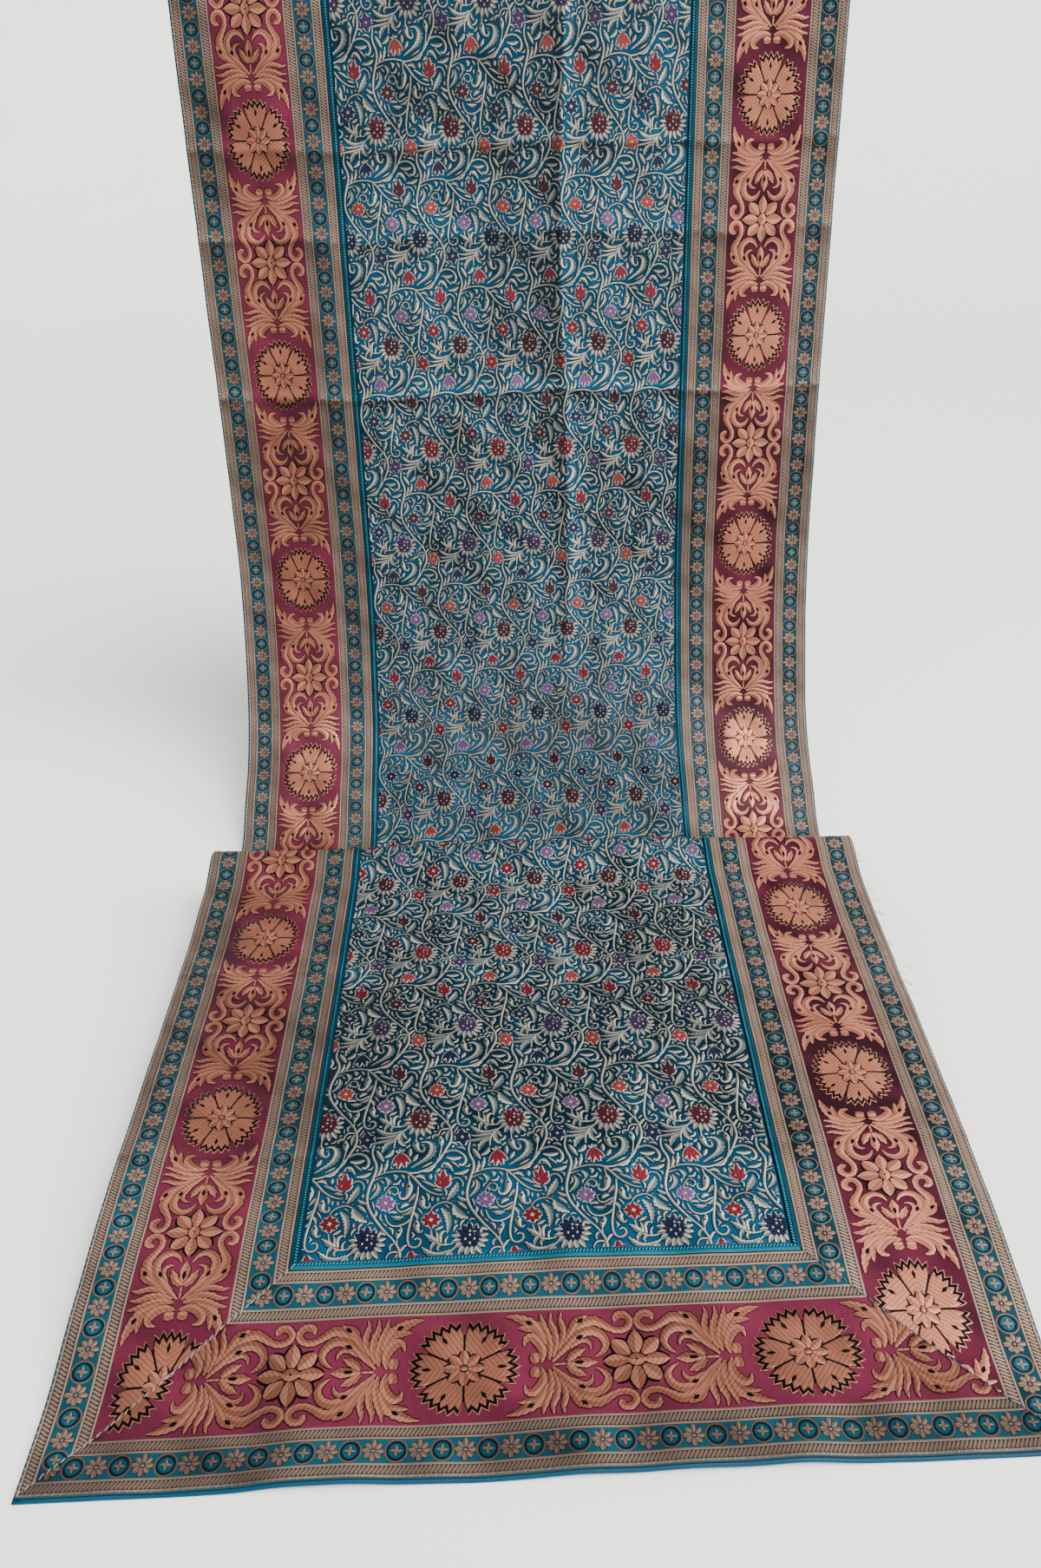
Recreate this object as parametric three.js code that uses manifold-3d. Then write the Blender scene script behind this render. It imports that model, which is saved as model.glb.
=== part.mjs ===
// A lined silk brocade hanging. It drops straight down, sweeps forward onto a level surface, doubles back
// in one fold, and its front layer runs down to a hem that lies flat. Millimetres, +Z up, +X to the right
// of someone facing the cloth, +Y away from them. The origin is the middle of the cloth's underside box.
import * as THREE from 'three';
import { mergeVertices } from 'three/addons/utils/BufferGeometryUtils.js';
import Module from 'manifold-3d';

const wasm = await Module();
wasm.setup();

// Flat sizes of the sewn cloth
const width = 400;
const totalLength = 1219;
const borderWidth = 92.5;
const facingInset = 1;        // the lining shows this much past the brocade
const seamGap = 0.3;          // between neighbouring pieces
const brocadeThickness = 1.2;
const liningThickness = 1;
const clothThickness = brocadeThickness + seamGap + liningThickness;

// How the cloth lies, along its middle, from the front hem to the top edge. Each row is a straight run or
// an arc. Its turn is in degrees: plus lifts the cloth, minus turns it down. A row with toSlope and radius
// bends until the cloth has that slope, the row with downTo runs straight to that height, and the last row
// takes the length that is left.
const crestRadius = 7;
const bottomFoldRadius = 4;
const riserSlope = -130;
const bottomFoldTop = clothThickness
  + bottomFoldRadius * (1 - Math.cos(THREE.MathUtils.degToRad(riserSlope)));
const lie = [
  { name: 'hem_flat', length: 20, turn: 0 },
  { name: 'hem_rise', length: 35, turn: 13 },
  { name: 'front_low', length: 95, turn: -9.5 },
  { name: 'front_crease_low', length: 12, turn: 1.5 },
  { name: 'front_middle', length: 128, turn: -1 },
  { name: 'front_crease_high', length: 12, turn: 1.5 },
  { name: 'front_high', length: 94, turn: 3 },
  { name: 'crest', radius: crestRadius, toSlope: riserSlope },
  { name: 'riser', downTo: bottomFoldTop, turn: 0 },
  { name: 'bottom_fold', radius: bottomFoldRadius, toSlope: 0 },
  { name: 'back_flat', length: 66, turn: 0 },
  { name: 'lift', length: 42, turn: 45 },
  { name: 'ramp', length: 30, turn: -9 },
  { name: 'sweep_low', length: 60, turn: 31 },
  { name: 'sweep_middle', length: 60, turn: 9 },
  { name: 'sweep_high', length: 66, turn: 14 },
  { name: 'hang_low', length: 80, turn: -2 },
  { name: 'hang_crease_low', length: 10, turn: 4.5 },
  { name: 'hang_middle', length: 88, turn: -4.5 },
  { name: 'hang_crease_high', length: 10, turn: 3 },
  { name: 'hang_top', turn: -1 },
];

// Steps of the solids: the longest run and the widest turn that one step may span
const longestStep = 42;
const widestTurn = 22;

// Unevenness: soft ridges and lifts in the finished cloth
const lengthwiseRidge = { x: 30, halfWidth: 60, height: 2.6, from: 600, full: 680 };
const hemLifts = [
  { x: -86, halfWidth: 28, height: 2.4 },
  { x: 12, halfWidth: 26, height: 1.6 },
  { x: 50, halfWidth: 20, height: 1.6 },
  { x: 88, halfWidth: 24, height: 2.0 },
];
const hemLiftDepth = 70;
const waves = [
  { across: 230, along: 520, phase: 0.6, height: 0.9 },
  { across: 120, along: -390, phase: 2.1, height: 0.6 },
];
const waveFade = { frontFrom: 60, frontFull: 130, beforeCrest: 60, backFrom: 60, backFull: 160 };
const crestSway = { across: 330, phase: 1.1, share: 0.035 };

// Places the runs end to end, and gives the face's point and slope at any length along the cloth
const runs = [];
for (const row of lie) {
  const last = runs.at(-1);
  const start = last ? pointAlong(last, last.s + last.length) : { s: 0, y: 0, z: clothThickness, slope: 0 };
  const bend = row.toSlope === undefined
    ? THREE.MathUtils.degToRad(row.turn)
    : THREE.MathUtils.degToRad(row.toSlope) - start.slope;
  let length = row.length ?? totalLength - start.s;
  if (row.radius) length = row.radius * Math.abs(bend);
  if (row.downTo) length = (start.z - row.downTo) / -Math.sin(start.slope);
  runs.push({ name: row.name, length, bend, ...start });
}

function pointAlong(run, s) {
  const reach = s - run.s;
  const slope = run.slope + run.bend * reach / run.length;
  if (run.bend === 0) {
    return { s, y: run.y + reach * Math.cos(slope), z: run.z + reach * Math.sin(slope), slope };
  }
  const radius = run.length / run.bend;
  return {
    s,
    y: run.y + radius * (Math.sin(slope) - Math.sin(run.slope)),
    z: run.z - radius * (Math.cos(slope) - Math.cos(run.slope)),
    slope,
  };
}

function faceAt(s) {
  return pointAlong(runs.findLast((run) => run.s <= s), s);
}

const startOf = (name) => runs.find((run) => run.name === name).s;
const foldStart = startOf('crest');
const foldEnd = startOf('back_flat');
const liftStart = startOf('lift');
const smooth = (value, low, high) => THREE.MathUtils.smoothstep(value, low, high);

// How far the cloth stands off its smooth lie, in millimetres along its face's normal
function unevenness(x, s) {
  const onFront = smooth(s, waveFade.frontFrom, waveFade.frontFull)
    * (1 - smooth(s, foldStart - waveFade.beforeCrest, foldStart));
  const onBack = smooth(s - liftStart, waveFade.backFrom, waveFade.backFull);
  const wave = waves.reduce(
    (sum, w) => sum + w.height * Math.sin(2 * Math.PI * (x / w.across + s / w.along) + w.phase), 0);
  const ridge = lengthwiseRidge.height * Math.exp(-Math.abs(x - lengthwiseRidge.x) / lengthwiseRidge.halfWidth)
    * smooth(s, lengthwiseRidge.from, lengthwiseRidge.full);
  const lift = hemLifts.reduce(
    (sum, bump) => sum + bump.height * Math.exp(-(((x - bump.x) / bump.halfWidth) ** 2)), 0)
    * (1 - smooth(s, 0, hemLiftDepth));
  return wave * (onFront + onBack) + ridge + lift;
}

// A point of the cloth: x across, s along from the front hem, depth below the brocade's face
function clothPoint(x, s, depth) {
  const face = faceAt(s);
  const sway = s < foldEnd
    ? 1 + crestSway.share * Math.sin(2 * Math.PI * x / crestSway.across + crestSway.phase)
    : 1;
  const out = unevenness(x, s) - depth;
  const z = clothThickness + (face.z - clothThickness) * sway;
  return new THREE.Vector3(x, face.y - out * Math.sin(face.slope), z + out * Math.cos(face.slope));
}

// Shared columns and rows, so that every layer bends at the same places and stays apart from the next
const spread = (low, high, count) => Array.from({ length: count + 1 }, (_, i) => low + (high - low) * i / count);
const halfPanel = width / 2 - facingInset - borderWidth + seamGap / 2;
const halfFacing = width / 2 - facingInset;
const panelEdge = halfPanel - seamGap;
const borderColumns = 3;
const panelColumns = { leftOfRidge: 6, rightOfRidge: 4 };
const columns = [
  -width / 2,
  ...spread(-halfFacing, -halfPanel, borderColumns),
  ...spread(-panelEdge, lengthwiseRidge.x, panelColumns.leftOfRidge),
  ...spread(lengthwiseRidge.x, panelEdge, panelColumns.rightOfRidge).slice(1),
  ...spread(halfPanel, halfFacing, borderColumns),
  width / 2,
];
const seamRows = [0, facingInset, borderWidth, borderWidth + seamGap];
const mirroredRows = seamRows.map((s) => totalLength - s);
const bendRows = runs.flatMap((run) => {
  const turn = THREE.MathUtils.radToDeg(Math.abs(run.bend));
  const count = Math.ceil(Math.max(run.length / longestStep, turn / widestTurn));
  return spread(run.s, run.s + run.length, count).slice(1);
});
const nearestRow = 1;
const clearOfSeams = (s) => [...seamRows, ...mirroredRows].every((seam) => Math.abs(seam - s) >= nearestRow);
const rows = [...seamRows, ...bendRows.filter(clearOfSeams), ...mirroredRows].sort((a, b) => a - b);

// One sheet over a range of those columns and rows, between two depths. Both faces split each cell along
// the same diagonal, so that a twisted cell keeps its thickness and its gap to the layer below.
const tolerance = 1e-6;
const within = (values, [low, high]) => values.filter((v) => v >= low - tolerance && v <= high + tolerance);
function sheet({ x: acrossRange, s: alongRange, depth: [upper, lower] }) {
  const across = within(columns, acrossRange);
  const along = within(rows, alongRange);
  const points = [upper, lower].flatMap((depth) => along.flatMap((s) => across.map((x) => clothPoint(x, s, depth))));
  const at = (layer, row, column) => (layer * along.length + row) * across.length + column;
  const index = [];
  const quad = (a, b, c, d) => index.push(a, b, c, a, c, d);
  const lastRow = along.length - 1;
  const lastColumn = across.length - 1;
  for (let r = 0; r < lastRow; r += 1) {
    for (let c = 0; c < lastColumn; c += 1) {
      quad(at(0, r, c), at(0, r, c + 1), at(0, r + 1, c + 1), at(0, r + 1, c));
      quad(at(1, r, c), at(1, r + 1, c), at(1, r + 1, c + 1), at(1, r, c + 1));
    }
    quad(at(0, r, 0), at(0, r + 1, 0), at(1, r + 1, 0), at(1, r, 0));
    quad(at(0, r, lastColumn), at(1, r, lastColumn), at(1, r + 1, lastColumn), at(0, r + 1, lastColumn));
  }
  for (let c = 0; c < lastColumn; c += 1) {
    quad(at(0, 0, c), at(1, 0, c), at(1, 0, c + 1), at(0, 0, c + 1));
    quad(at(0, lastRow, c), at(0, lastRow, c + 1), at(1, lastRow, c + 1), at(1, lastRow, c));
  }
  return new THREE.BufferGeometry().setFromPoints(points).setIndex(index);
}

const toManifold = (geometry) => new wasm.Manifold(new wasm.Mesh({
  numProp: 3,
  vertProperties: geometry.getAttribute('position').array,
  triVerts: Uint32Array.from(geometry.getIndex().array),
}));

function fromManifold(solid) {
  const mesh = solid.getMesh();
  const geometry = new THREE.BufferGeometry();
  geometry.setAttribute('position', new THREE.BufferAttribute(mesh.vertProperties, 3));
  geometry.setIndex(new THREE.BufferAttribute(mesh.triVerts, 1));
  return geometry;
}

// A mitring tool: the strip's outline on the flat cloth, as a prism through the thickness
const toolReach = 60;
function mitrePrism(outline, place) {
  const prism = new THREE.ExtrudeGeometry(new THREE.Shape(outline), { depth: 2 * toolReach, bevelEnabled: false });
  prism.translate(0, 0, -toolReach).applyMatrix4(place);
  prism.deleteAttribute('normal');
  prism.deleteAttribute('uv');
  return toManifold(mergeVertices(prism));
}

// The outline of the cross strip, with its two mitres: length lies along x, growing from the hem
const mitreHalfGap = seamGap / Math.SQRT2;
const beyond = 20;
function crossOutline(shift) {
  const outer = width / 2 + beyond + shift;
  const inner = width / 2 - borderWidth - beyond + shift;
  return [
    new THREE.Vector2(-outer, -beyond),
    new THREE.Vector2(outer, -beyond),
    new THREE.Vector2(inner, borderWidth + beyond),
    new THREE.Vector2(-inner, borderWidth + beyond),
  ];
}

// The front corner lies on the surface; the top corner hangs, so its prism is turned up and moved there
const frontPlace = new THREE.Matrix4();
const top = clothPoint(0, totalLength, 0);
const topPlace = new THREE.Matrix4()
  .makeBasis(new THREE.Vector3(1, 0, 0), new THREE.Vector3(0, 0, -1), new THREE.Vector3(0, 1, 0))
  .setPosition(0, top.y, top.z);

const brocadeDepth = [0, brocadeThickness];
const liningDepth = [brocadeThickness + seamGap, clothThickness];
const fullRun = [facingInset, totalLength - facingInset];

function crossStrip(place, s) {
  const strip = toManifold(sheet({ x: [-halfFacing, halfFacing], s, depth: brocadeDepth }));
  return fromManifold(strip.intersect(mitrePrism(crossOutline(-mitreHalfGap), place)));
}

function sideStrip(x) {
  const strip = toManifold(sheet({ x, s: fullRun, depth: brocadeDepth }));
  const mitred = [frontPlace, topPlace].reduce(
    (solid, place) => solid.subtract(mitrePrism(crossOutline(mitreHalfGap), place)), strip);
  return fromManifold(mitred);
}

const looks = {
  panel: { color: '#2c6f86', roughness: 0.5, metalness: 0.15 },
  border: { color: '#a8605a', roughness: 0.5, metalness: 0.3 },
  lining: { color: '#1492b8', roughness: 0.7, metalness: 0 },
};

const cloth = new THREE.Group();
function addPiece(name, geometry, look) {
  const mesh = new THREE.Mesh(geometry, new THREE.MeshStandardMaterial(looks[look]));
  mesh.name = name;
  cloth.add(mesh);
}

const innerRun = [borderWidth + seamGap, totalLength - borderWidth - seamGap];
addPiece('backing', sheet({ x: [-width / 2, width / 2], s: [0, totalLength], depth: liningDepth }), 'lining');
addPiece('panel', sheet({ x: [-panelEdge, panelEdge], s: innerRun, depth: brocadeDepth }), 'panel');
addPiece('border_left', sideStrip([-halfFacing, -halfPanel]), 'border');
addPiece('border_right', sideStrip([halfPanel, halfFacing]), 'border');
addPiece('border_front', crossStrip(frontPlace, [facingInset, borderWidth]), 'border');
addPiece('border_top', crossStrip(topPlace, [totalLength - borderWidth, totalLength - facingInset]), 'border');

// The origin goes to the middle of the underside of the whole cloth's box
const box = new THREE.Box3().setFromObject(cloth);
const middle = box.getCenter(new THREE.Vector3());
cloth.position.set(-middle.x, -middle.y, -box.min.z);

export default cloth;
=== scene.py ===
import math

import bmesh
import bpy
import numpy as np
from mathutils import Matrix, Vector
from mathutils.kdtree import KDTree


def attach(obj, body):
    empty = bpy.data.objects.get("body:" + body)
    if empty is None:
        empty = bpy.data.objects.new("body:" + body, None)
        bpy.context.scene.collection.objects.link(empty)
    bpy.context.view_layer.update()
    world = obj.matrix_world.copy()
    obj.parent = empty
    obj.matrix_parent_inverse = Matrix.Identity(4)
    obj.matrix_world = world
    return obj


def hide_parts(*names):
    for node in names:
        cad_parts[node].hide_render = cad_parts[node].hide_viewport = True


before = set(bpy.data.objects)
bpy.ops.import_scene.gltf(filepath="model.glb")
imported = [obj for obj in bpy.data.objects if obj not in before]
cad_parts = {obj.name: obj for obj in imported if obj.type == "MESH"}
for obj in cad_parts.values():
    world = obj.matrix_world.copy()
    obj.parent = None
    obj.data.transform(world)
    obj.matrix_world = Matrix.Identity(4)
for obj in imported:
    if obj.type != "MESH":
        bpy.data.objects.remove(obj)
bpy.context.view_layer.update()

# The camera
# It stands low in front of the cloth, tips down, and leans a little to one side. The lens and the place
# come from the repeats of the woven pattern, whose spacing on the cloth is known.
camera_place = (-0.005, -0.6016, 0.4485)
camera_lens = 29.84
yaw, pitch, lean = (math.radians(angle) for angle in (0.07, 26.86, -1.55))
camera_data = bpy.data.cameras.new("camera")
camera_data.lens = camera_lens
camera_data.sensor_width = 36.0
camera = bpy.data.objects.new("camera", camera_data)
camera.matrix_world = (
    Matrix.Translation(camera_place)
    @ Matrix.Rotation(yaw, 4, "Z")
    @ Matrix.Rotation(math.radians(90) - pitch, 4, "X")
    @ Matrix.Rotation(lean, 4, "Z")
)
bpy.context.scene.collection.objects.link(camera)
bpy.context.scene.camera = camera


# The floor and the light
# A plain pale table top that sweeps up far behind, under an even pale room, soft daylight from above and
# one soft lamp to the right.
def linear(*seen):
    """A colour given as it is read off a screen, 0 to 255, as the numbers that a shader takes."""
    parts = [value / 255 for value in seen]
    return tuple(
        part / 12.92 if part <= 0.04045 else ((part + 0.055) / 1.055) ** 2.4 for part in parts
    ) + (1.0,)


class Wire:
    """One output of a shader node. Sums on wires and numbers add the Math nodes that they need."""

    def __init__(self, finish, socket):
        self.finish = finish
        self.socket = socket

    def maths(self, operation, first, second=0.0):
        return self.finish.node("ShaderNodeMath", {"operation": operation}, {0: first, 1: second})

    def __add__(self, other):
        return self.maths("ADD", self, other)

    def __radd__(self, other):
        return self.maths("ADD", other, self)

    def __sub__(self, other):
        return self.maths("SUBTRACT", self, other)

    def __rsub__(self, other):
        return self.maths("SUBTRACT", other, self)

    def __mul__(self, other):
        return self.maths("MULTIPLY", self, other)

    def __rmul__(self, other):
        return self.maths("MULTIPLY", other, self)

    def __truediv__(self, other):
        return self.maths("DIVIDE", self, other)

    def __gt__(self, other):
        return self.maths("GREATER_THAN", self, other)

    def __lt__(self, other):
        return self.maths("LESS_THAN", self, other)

    def __abs__(self):
        return self.maths("ABSOLUTE", self)

    def __mod__(self, other):
        return self.maths("FLOORED_MODULO", self, other)


class Finish:
    """One material: a principled shader, and the nodes that vary it over the surface."""

    def __init__(self, name, **even):
        self.material = bpy.data.materials.new(name)
        self.material.use_nodes = True
        self.nodes = self.material.node_tree.nodes
        self.shader = self.nodes["Principled BSDF"]
        for socket, value in even.items():
            self.shader.inputs[socket.replace("_", " ")].default_value = value

    def node(self, kind, settings, sockets, output=0):
        made = self.nodes.new(kind)
        for name, value in settings.items():
            if name == "stops":
                ramp = made.color_ramp.elements
                while len(ramp) < len(value):
                    ramp.new(0.5)
                for element, (place, colour) in zip(ramp, value):
                    element.position, element.color = place, colour
            else:
                setattr(made, name, value)
        for name, value in sockets.items():
            if isinstance(value, Wire):
                self.material.node_tree.links.new(value.socket, made.inputs[name])
            else:
                made.inputs[name].default_value = value
        return Wire(self, made.outputs[output])

    def mix(self, share, first, second):
        """Between two colours."""
        return self.node("ShaderNodeMix", {"data_type": "RGBA"}, {0: share, 6: first, 7: second}, 2)

    def noise(self, place, scale, detail=2.0, roughness=0.5):
        return self.node(
            "ShaderNodeTexNoise",
            {},
            {"Vector": place, "Scale": scale, "Detail": detail, "Roughness": roughness},
        )

    def stretched(self, place, scale):
        """The same coordinates, drawn out by a different amount along each axis."""
        return self.node("ShaderNodeMapping", {}, {"Vector": place, "Scale": scale})

    def feed(self, socket, wire):
        self.material.node_tree.links.new(wire.socket, self.shader.inputs[socket])

    def relief(self, height, depth):
        bump = self.node("ShaderNodeBump", {}, {"Height": height, "Distance": depth, "Strength": 1.0})
        self.feed("Normal", bump)


table_top = Finish("table_top", Roughness=0.55)
on_table = table_top.node("ShaderNodeTexCoord", {}, {}, 3)
cloudy = table_top.noise(on_table, 2.5, 4.0)
grain = table_top.noise(on_table, 900.0, 2.0)
table_top.feed("Base Color", table_top.mix(cloudy, linear(244, 244, 242), linear(250, 250, 248)))
table_top.relief(grain, 0.00003)
floor_reach, sweep_start, sweep_radius = 8.0, 3.5, 2.5
floor_form = bmesh.new()
bmesh.ops.create_grid(floor_form, x_segments=8, y_segments=64, size=floor_reach)
for vert in floor_form.verts:
    past = max(0.0, vert.co.y - sweep_start)
    turn = min(past / sweep_radius, math.pi / 2)
    straight = past - turn * sweep_radius
    if past:
        vert.co.y = sweep_start + sweep_radius * math.sin(turn)
        vert.co.z = sweep_radius * (1 - math.cos(turn)) + straight
bmesh.ops.translate(floor_form, verts=floor_form.verts, vec=(0.0, 0.0, -0.0004))
floor_mesh = bpy.data.meshes.new("table")
floor_form.to_mesh(floor_mesh)
floor_mesh.shade_smooth()
floor_mesh.materials.append(table_top.material)
floor = bpy.data.objects.new("table", floor_mesh)
bpy.context.scene.collection.objects.link(floor)

room = bpy.data.worlds.new("room")
room.use_nodes = True
room.node_tree.nodes["Background"].inputs["Color"].default_value = linear(244, 244, 242)
room.node_tree.nodes["Background"].inputs["Strength"].default_value = 0.8
bpy.context.scene.world = room


def soft_light(name, kind, place, power, colour, **shape):
    """A lamp turned to face the middle of the cloth."""
    lamp = bpy.data.lights.new(name, kind)
    lamp.energy, lamp.color = power, colour[:3]
    for setting, value in shape.items():
        setattr(lamp, setting, value)
    holder = bpy.data.objects.new(name, lamp)
    holder.location = place
    holder.rotation_euler = (Vector((0, 0, 0.2)) - Vector(place)).to_track_quat("-Z", "Y").to_euler()
    bpy.context.scene.collection.objects.link(holder)


soft_light("daylight", "SUN", (1.3, -1.9, 3.0), 5.7, linear(255, 254, 251), angle=math.radians(32))
soft_light("side_light", "AREA", (1.4, -0.5, 1.2), 32.0, linear(255, 250, 242), size=0.7)


# The lining
# One full-width length of bright turquoise silk behind the brocade, sewn to it round the edges. It shows
# at the hem, along the outer edges, and over the whole back. The way the cloth lies is worked out here.
width, length = 0.400, 1.219
border_width = 0.0925
facing_inset = 0.001
seam_gap = 0.0003
brocade_thickness, lining_thickness = 0.0012, 0.0010
cloth_thickness = brocade_thickness + seam_gap + lining_thickness
row_shift = -0.28955  # from the hem to the middle of the cloth's box
crest_radius, bottom_fold_radius = 0.007, 0.004
riser_slope = math.radians(-130)
bottom_fold_top = cloth_thickness + bottom_fold_radius * (1 - math.cos(riser_slope))

lie = []  # each run: its start along the cloth, length, bend, and the start's y, z and slope


def end_of_lie():
    if not lie:
        return 0.0, 0.0, cloth_thickness, 0.0
    start, reach, bend, y, z, slope = lie[-1]
    end_slope = slope + bend
    if bend == 0:
        return start + reach, y + reach * math.cos(slope), z + reach * math.sin(slope), slope
    radius = reach / bend
    return (
        start + reach,
        y + radius * (math.sin(end_slope) - math.sin(slope)),
        z - radius * (math.cos(end_slope) - math.cos(slope)),
        end_slope,
    )


def lay_run(reach, turn):
    start, y, z, slope = end_of_lie()
    lie.append((start, reach, turn, y, z, slope))
    return start


front_runs = [(20, 0), (35, 13), (95, -9.5), (12, 1.5), (128, -1), (12, 1.5), (94, 3)]
back_runs = [
    (42, 45), (30, -9), (60, 31), (60, 9), (66, 14), (80, -2), (10, 4.5), (88, -4.5), (10, 3),
]
for reach, turn in front_runs:
    lay_run(reach / 1000, math.radians(turn))
crest_turn = riser_slope - end_of_lie()[3]
fold_start = lay_run(crest_radius * abs(crest_turn), crest_turn)
lay_run((end_of_lie()[2] - bottom_fold_top) / -math.sin(riser_slope), 0.0)
lay_run(bottom_fold_radius * abs(riser_slope), -riser_slope)
fold_end = lay_run(0.066, 0.0)
lift_start = end_of_lie()[0]
for reach, turn in back_runs:
    lay_run(reach / 1000, math.radians(turn))
lay_run(length - end_of_lie()[0], math.radians(-1))
lie = np.array(lie)


def ramp(value, low, high):
    """Rises smoothly from 0 at low to 1 at high."""
    share = np.clip((value - low) / (high - low), 0, 1)
    return share * share * (3 - 2 * share)


def face_at(s):
    """The brocade's face at each length s from the hem: y, z and slope."""
    start, reach, bend, y, z, slope = lie[np.searchsorted(lie[:, 0], s, side="right") - 1].T
    here = slope + bend * (s - start) / reach
    straight = bend == 0
    radius = reach / np.where(straight, 1.0, bend)
    y = y + np.where(straight, (s - start) * np.cos(here), radius * (np.sin(here) - np.sin(slope)))
    z = z + np.where(straight, (s - start) * np.sin(here), -radius * (np.cos(here) - np.cos(slope)))
    return y, z, here


def stand_off(x, s):
    """How far the cloth stands off its smooth lie: soft waves, a lengthwise ridge and lifts at the hem."""
    x, s = x * 1000, s * 1000
    on_front = ramp(s, 60, 130) * (1 - ramp(s, fold_start * 1000 - 60, fold_start * 1000))
    on_back = ramp(s - lift_start * 1000, 60, 160)
    wave = 0.9 * np.sin(2 * np.pi * (x / 230 + s / 520) + 0.6)
    wave = wave + 0.6 * np.sin(2 * np.pi * (x / 120 - s / 390) + 2.1)
    ridge = 2.6 * np.exp(-np.abs(x - 30) / 60) * ramp(s, 600, 680)
    bumps = [(-86, 28, 3.0), (12, 24, 2.2), (52, 18, 2.4), (92, 22, 2.6)]
    lift = sum(height * np.exp(-(((x - place) / half) ** 2)) for place, half, height in bumps)
    return (wave * (on_front + on_back) + ridge + lift * (1 - ramp(s, 0, 70))) / 1000


def pressed_creases(x, s):
    """The lighter marks of storage: folds pressed across the cloth, a crease down it, fine puckers."""
    x, s = x * 1000, s * 1000
    wander = 1.5 * np.sin(x / 37 + 1.0) + 0.8 * np.sin(x / 13)
    across = [(156, 0.6, 4), (290, 0.5, 4), (860, 1.2, 3.5), (957, 0.8, 4), (1008, 0.8, 4)]
    out = sum(h * np.exp(-np.abs(s - place - wander) / half) for place, h, half in across)
    down = 0.8 * np.exp(-np.abs(x - 30 - 2 * np.sin(s / 55)) / 3.5) * ramp(s, 640, 760)
    fine = 0.0
    chance = np.random.default_rng(7)
    for size in (64, 47, 38, 29, 23, 19):
        turn, phase = chance.uniform(0, np.pi), chance.uniform(0, 2 * np.pi)
        along = x * np.cos(turn) + s * np.sin(turn)
        fine = fine + size * np.sin(2 * np.pi * along / size + phase + 0.8 * np.sin(s / 41 + phase))
    away = 1 - ramp(s, fold_start * 1000 - 12, fold_start * 1000) * (1 - ramp(s, fold_end * 1000, fold_end * 1000 + 30))
    return (out + down + fine * 0.0032 * away) / 1000


def askew(x, s):
    """How far back the hem's end has been pushed on the table, a little more on the right."""
    stations = (0, 0.025, 0.067, 0.092, 0.102, 0.120, 0.140, 0.174)
    push = np.interp(s, stations, (1.6, 2.0, 4.6, 5.9, 6.2, 3.6, 1.6, 0.0))
    turn = np.interp(s, stations, (2.3, 2.8, 1.9, 2.0, 2.3, 1.6, 0.8, 0.0))
    return (push + turn * x * 10) / 1000


def on_lie(x, s, out):
    """Points of the lying cloth, out from the brocade's face, for flat places x across and s from the hem."""
    y, z, slope = face_at(s)
    y = y + askew(x, s)
    crest = 0.13 * ramp(s, fold_start - 0.028, fold_start)
    sway = np.where(s < fold_end, 1 + 0.035 * np.sin(2 * np.pi * x / 0.330 + 1.1) + crest, 1.0)
    out = out + stand_off(x, s) + pressed_creases(x, s)
    z = cloth_thickness + (z - cloth_thickness) * sway
    return np.stack([x, y + row_shift - out * np.sin(slope), np.maximum(z + out * np.cos(slope), 0)], 1)


def painted_light_at(x, s):
    """Painted sheen and shade on the silk, about 0.5: lighter or darker as the waves and the pressed marks tilt the
    surface, in painted bands along the cloth from the hem, and in broad painted patches.
    """
    step = 0.0015
    # Painted light and shade from slope: each wave and pressed mark is painted lighter where it tilts one way and
    # darker where it tilts the other.
    tilt = 0.0
    for shape, across, along in ((stand_off, 1.1, 1.1), (pressed_creases, 2.0, 1.4)):
        tilt = tilt - across * (shape(x + step, s) - shape(x - step, s)) / step
        tilt = tilt - along * (shape(x, s + step) - shape(x, s - step)) / step
    # Painted bands of sheen and shade across the cloth, set at lengths from the hem.
    bands = np.interp(s * 1000, *zip(
        (0, 0.62), (92, 0.6), (150, 0.6), (160, 0.3), (270, 0.3), (286, 0.66), (296, 0.36), (385, 0.5), (470, 0.42),
        (560, 0.6), (700, 0.5), (830, 0.36), (862, 0.6), (950, 0.44), (962, 0.6), (1010, 0.4), (1100, 0.5), (1219, 0.5),
    ))
    # Broad painted patches of sheen and shade.
    patches = 0.0
    chance = np.random.default_rng(11)
    for size in (0.21, 0.15, 0.11, 0.08, 0.055):
        turn, phase = chance.uniform(0, np.pi), chance.uniform(0, 2 * np.pi)
        patches = patches + 0.04 * np.sin(2 * np.pi * (x * np.cos(turn) + s * np.sin(turn)) / size + phase)
    return np.clip(bands + tilt + patches, 0.0, 1.0)


def along_rows(low, high, step):
    """Places for rows of faces, close together where the cloth doubles back."""
    stations = [low]
    while stations[-1] < high - 1e-6:
        here = stations[-1]
        tight = fold_start - 0.008 < here < fold_end + 0.004
        stations.append(min(here + (0.001 if tight else step), high))
    return np.array(stations)


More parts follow.
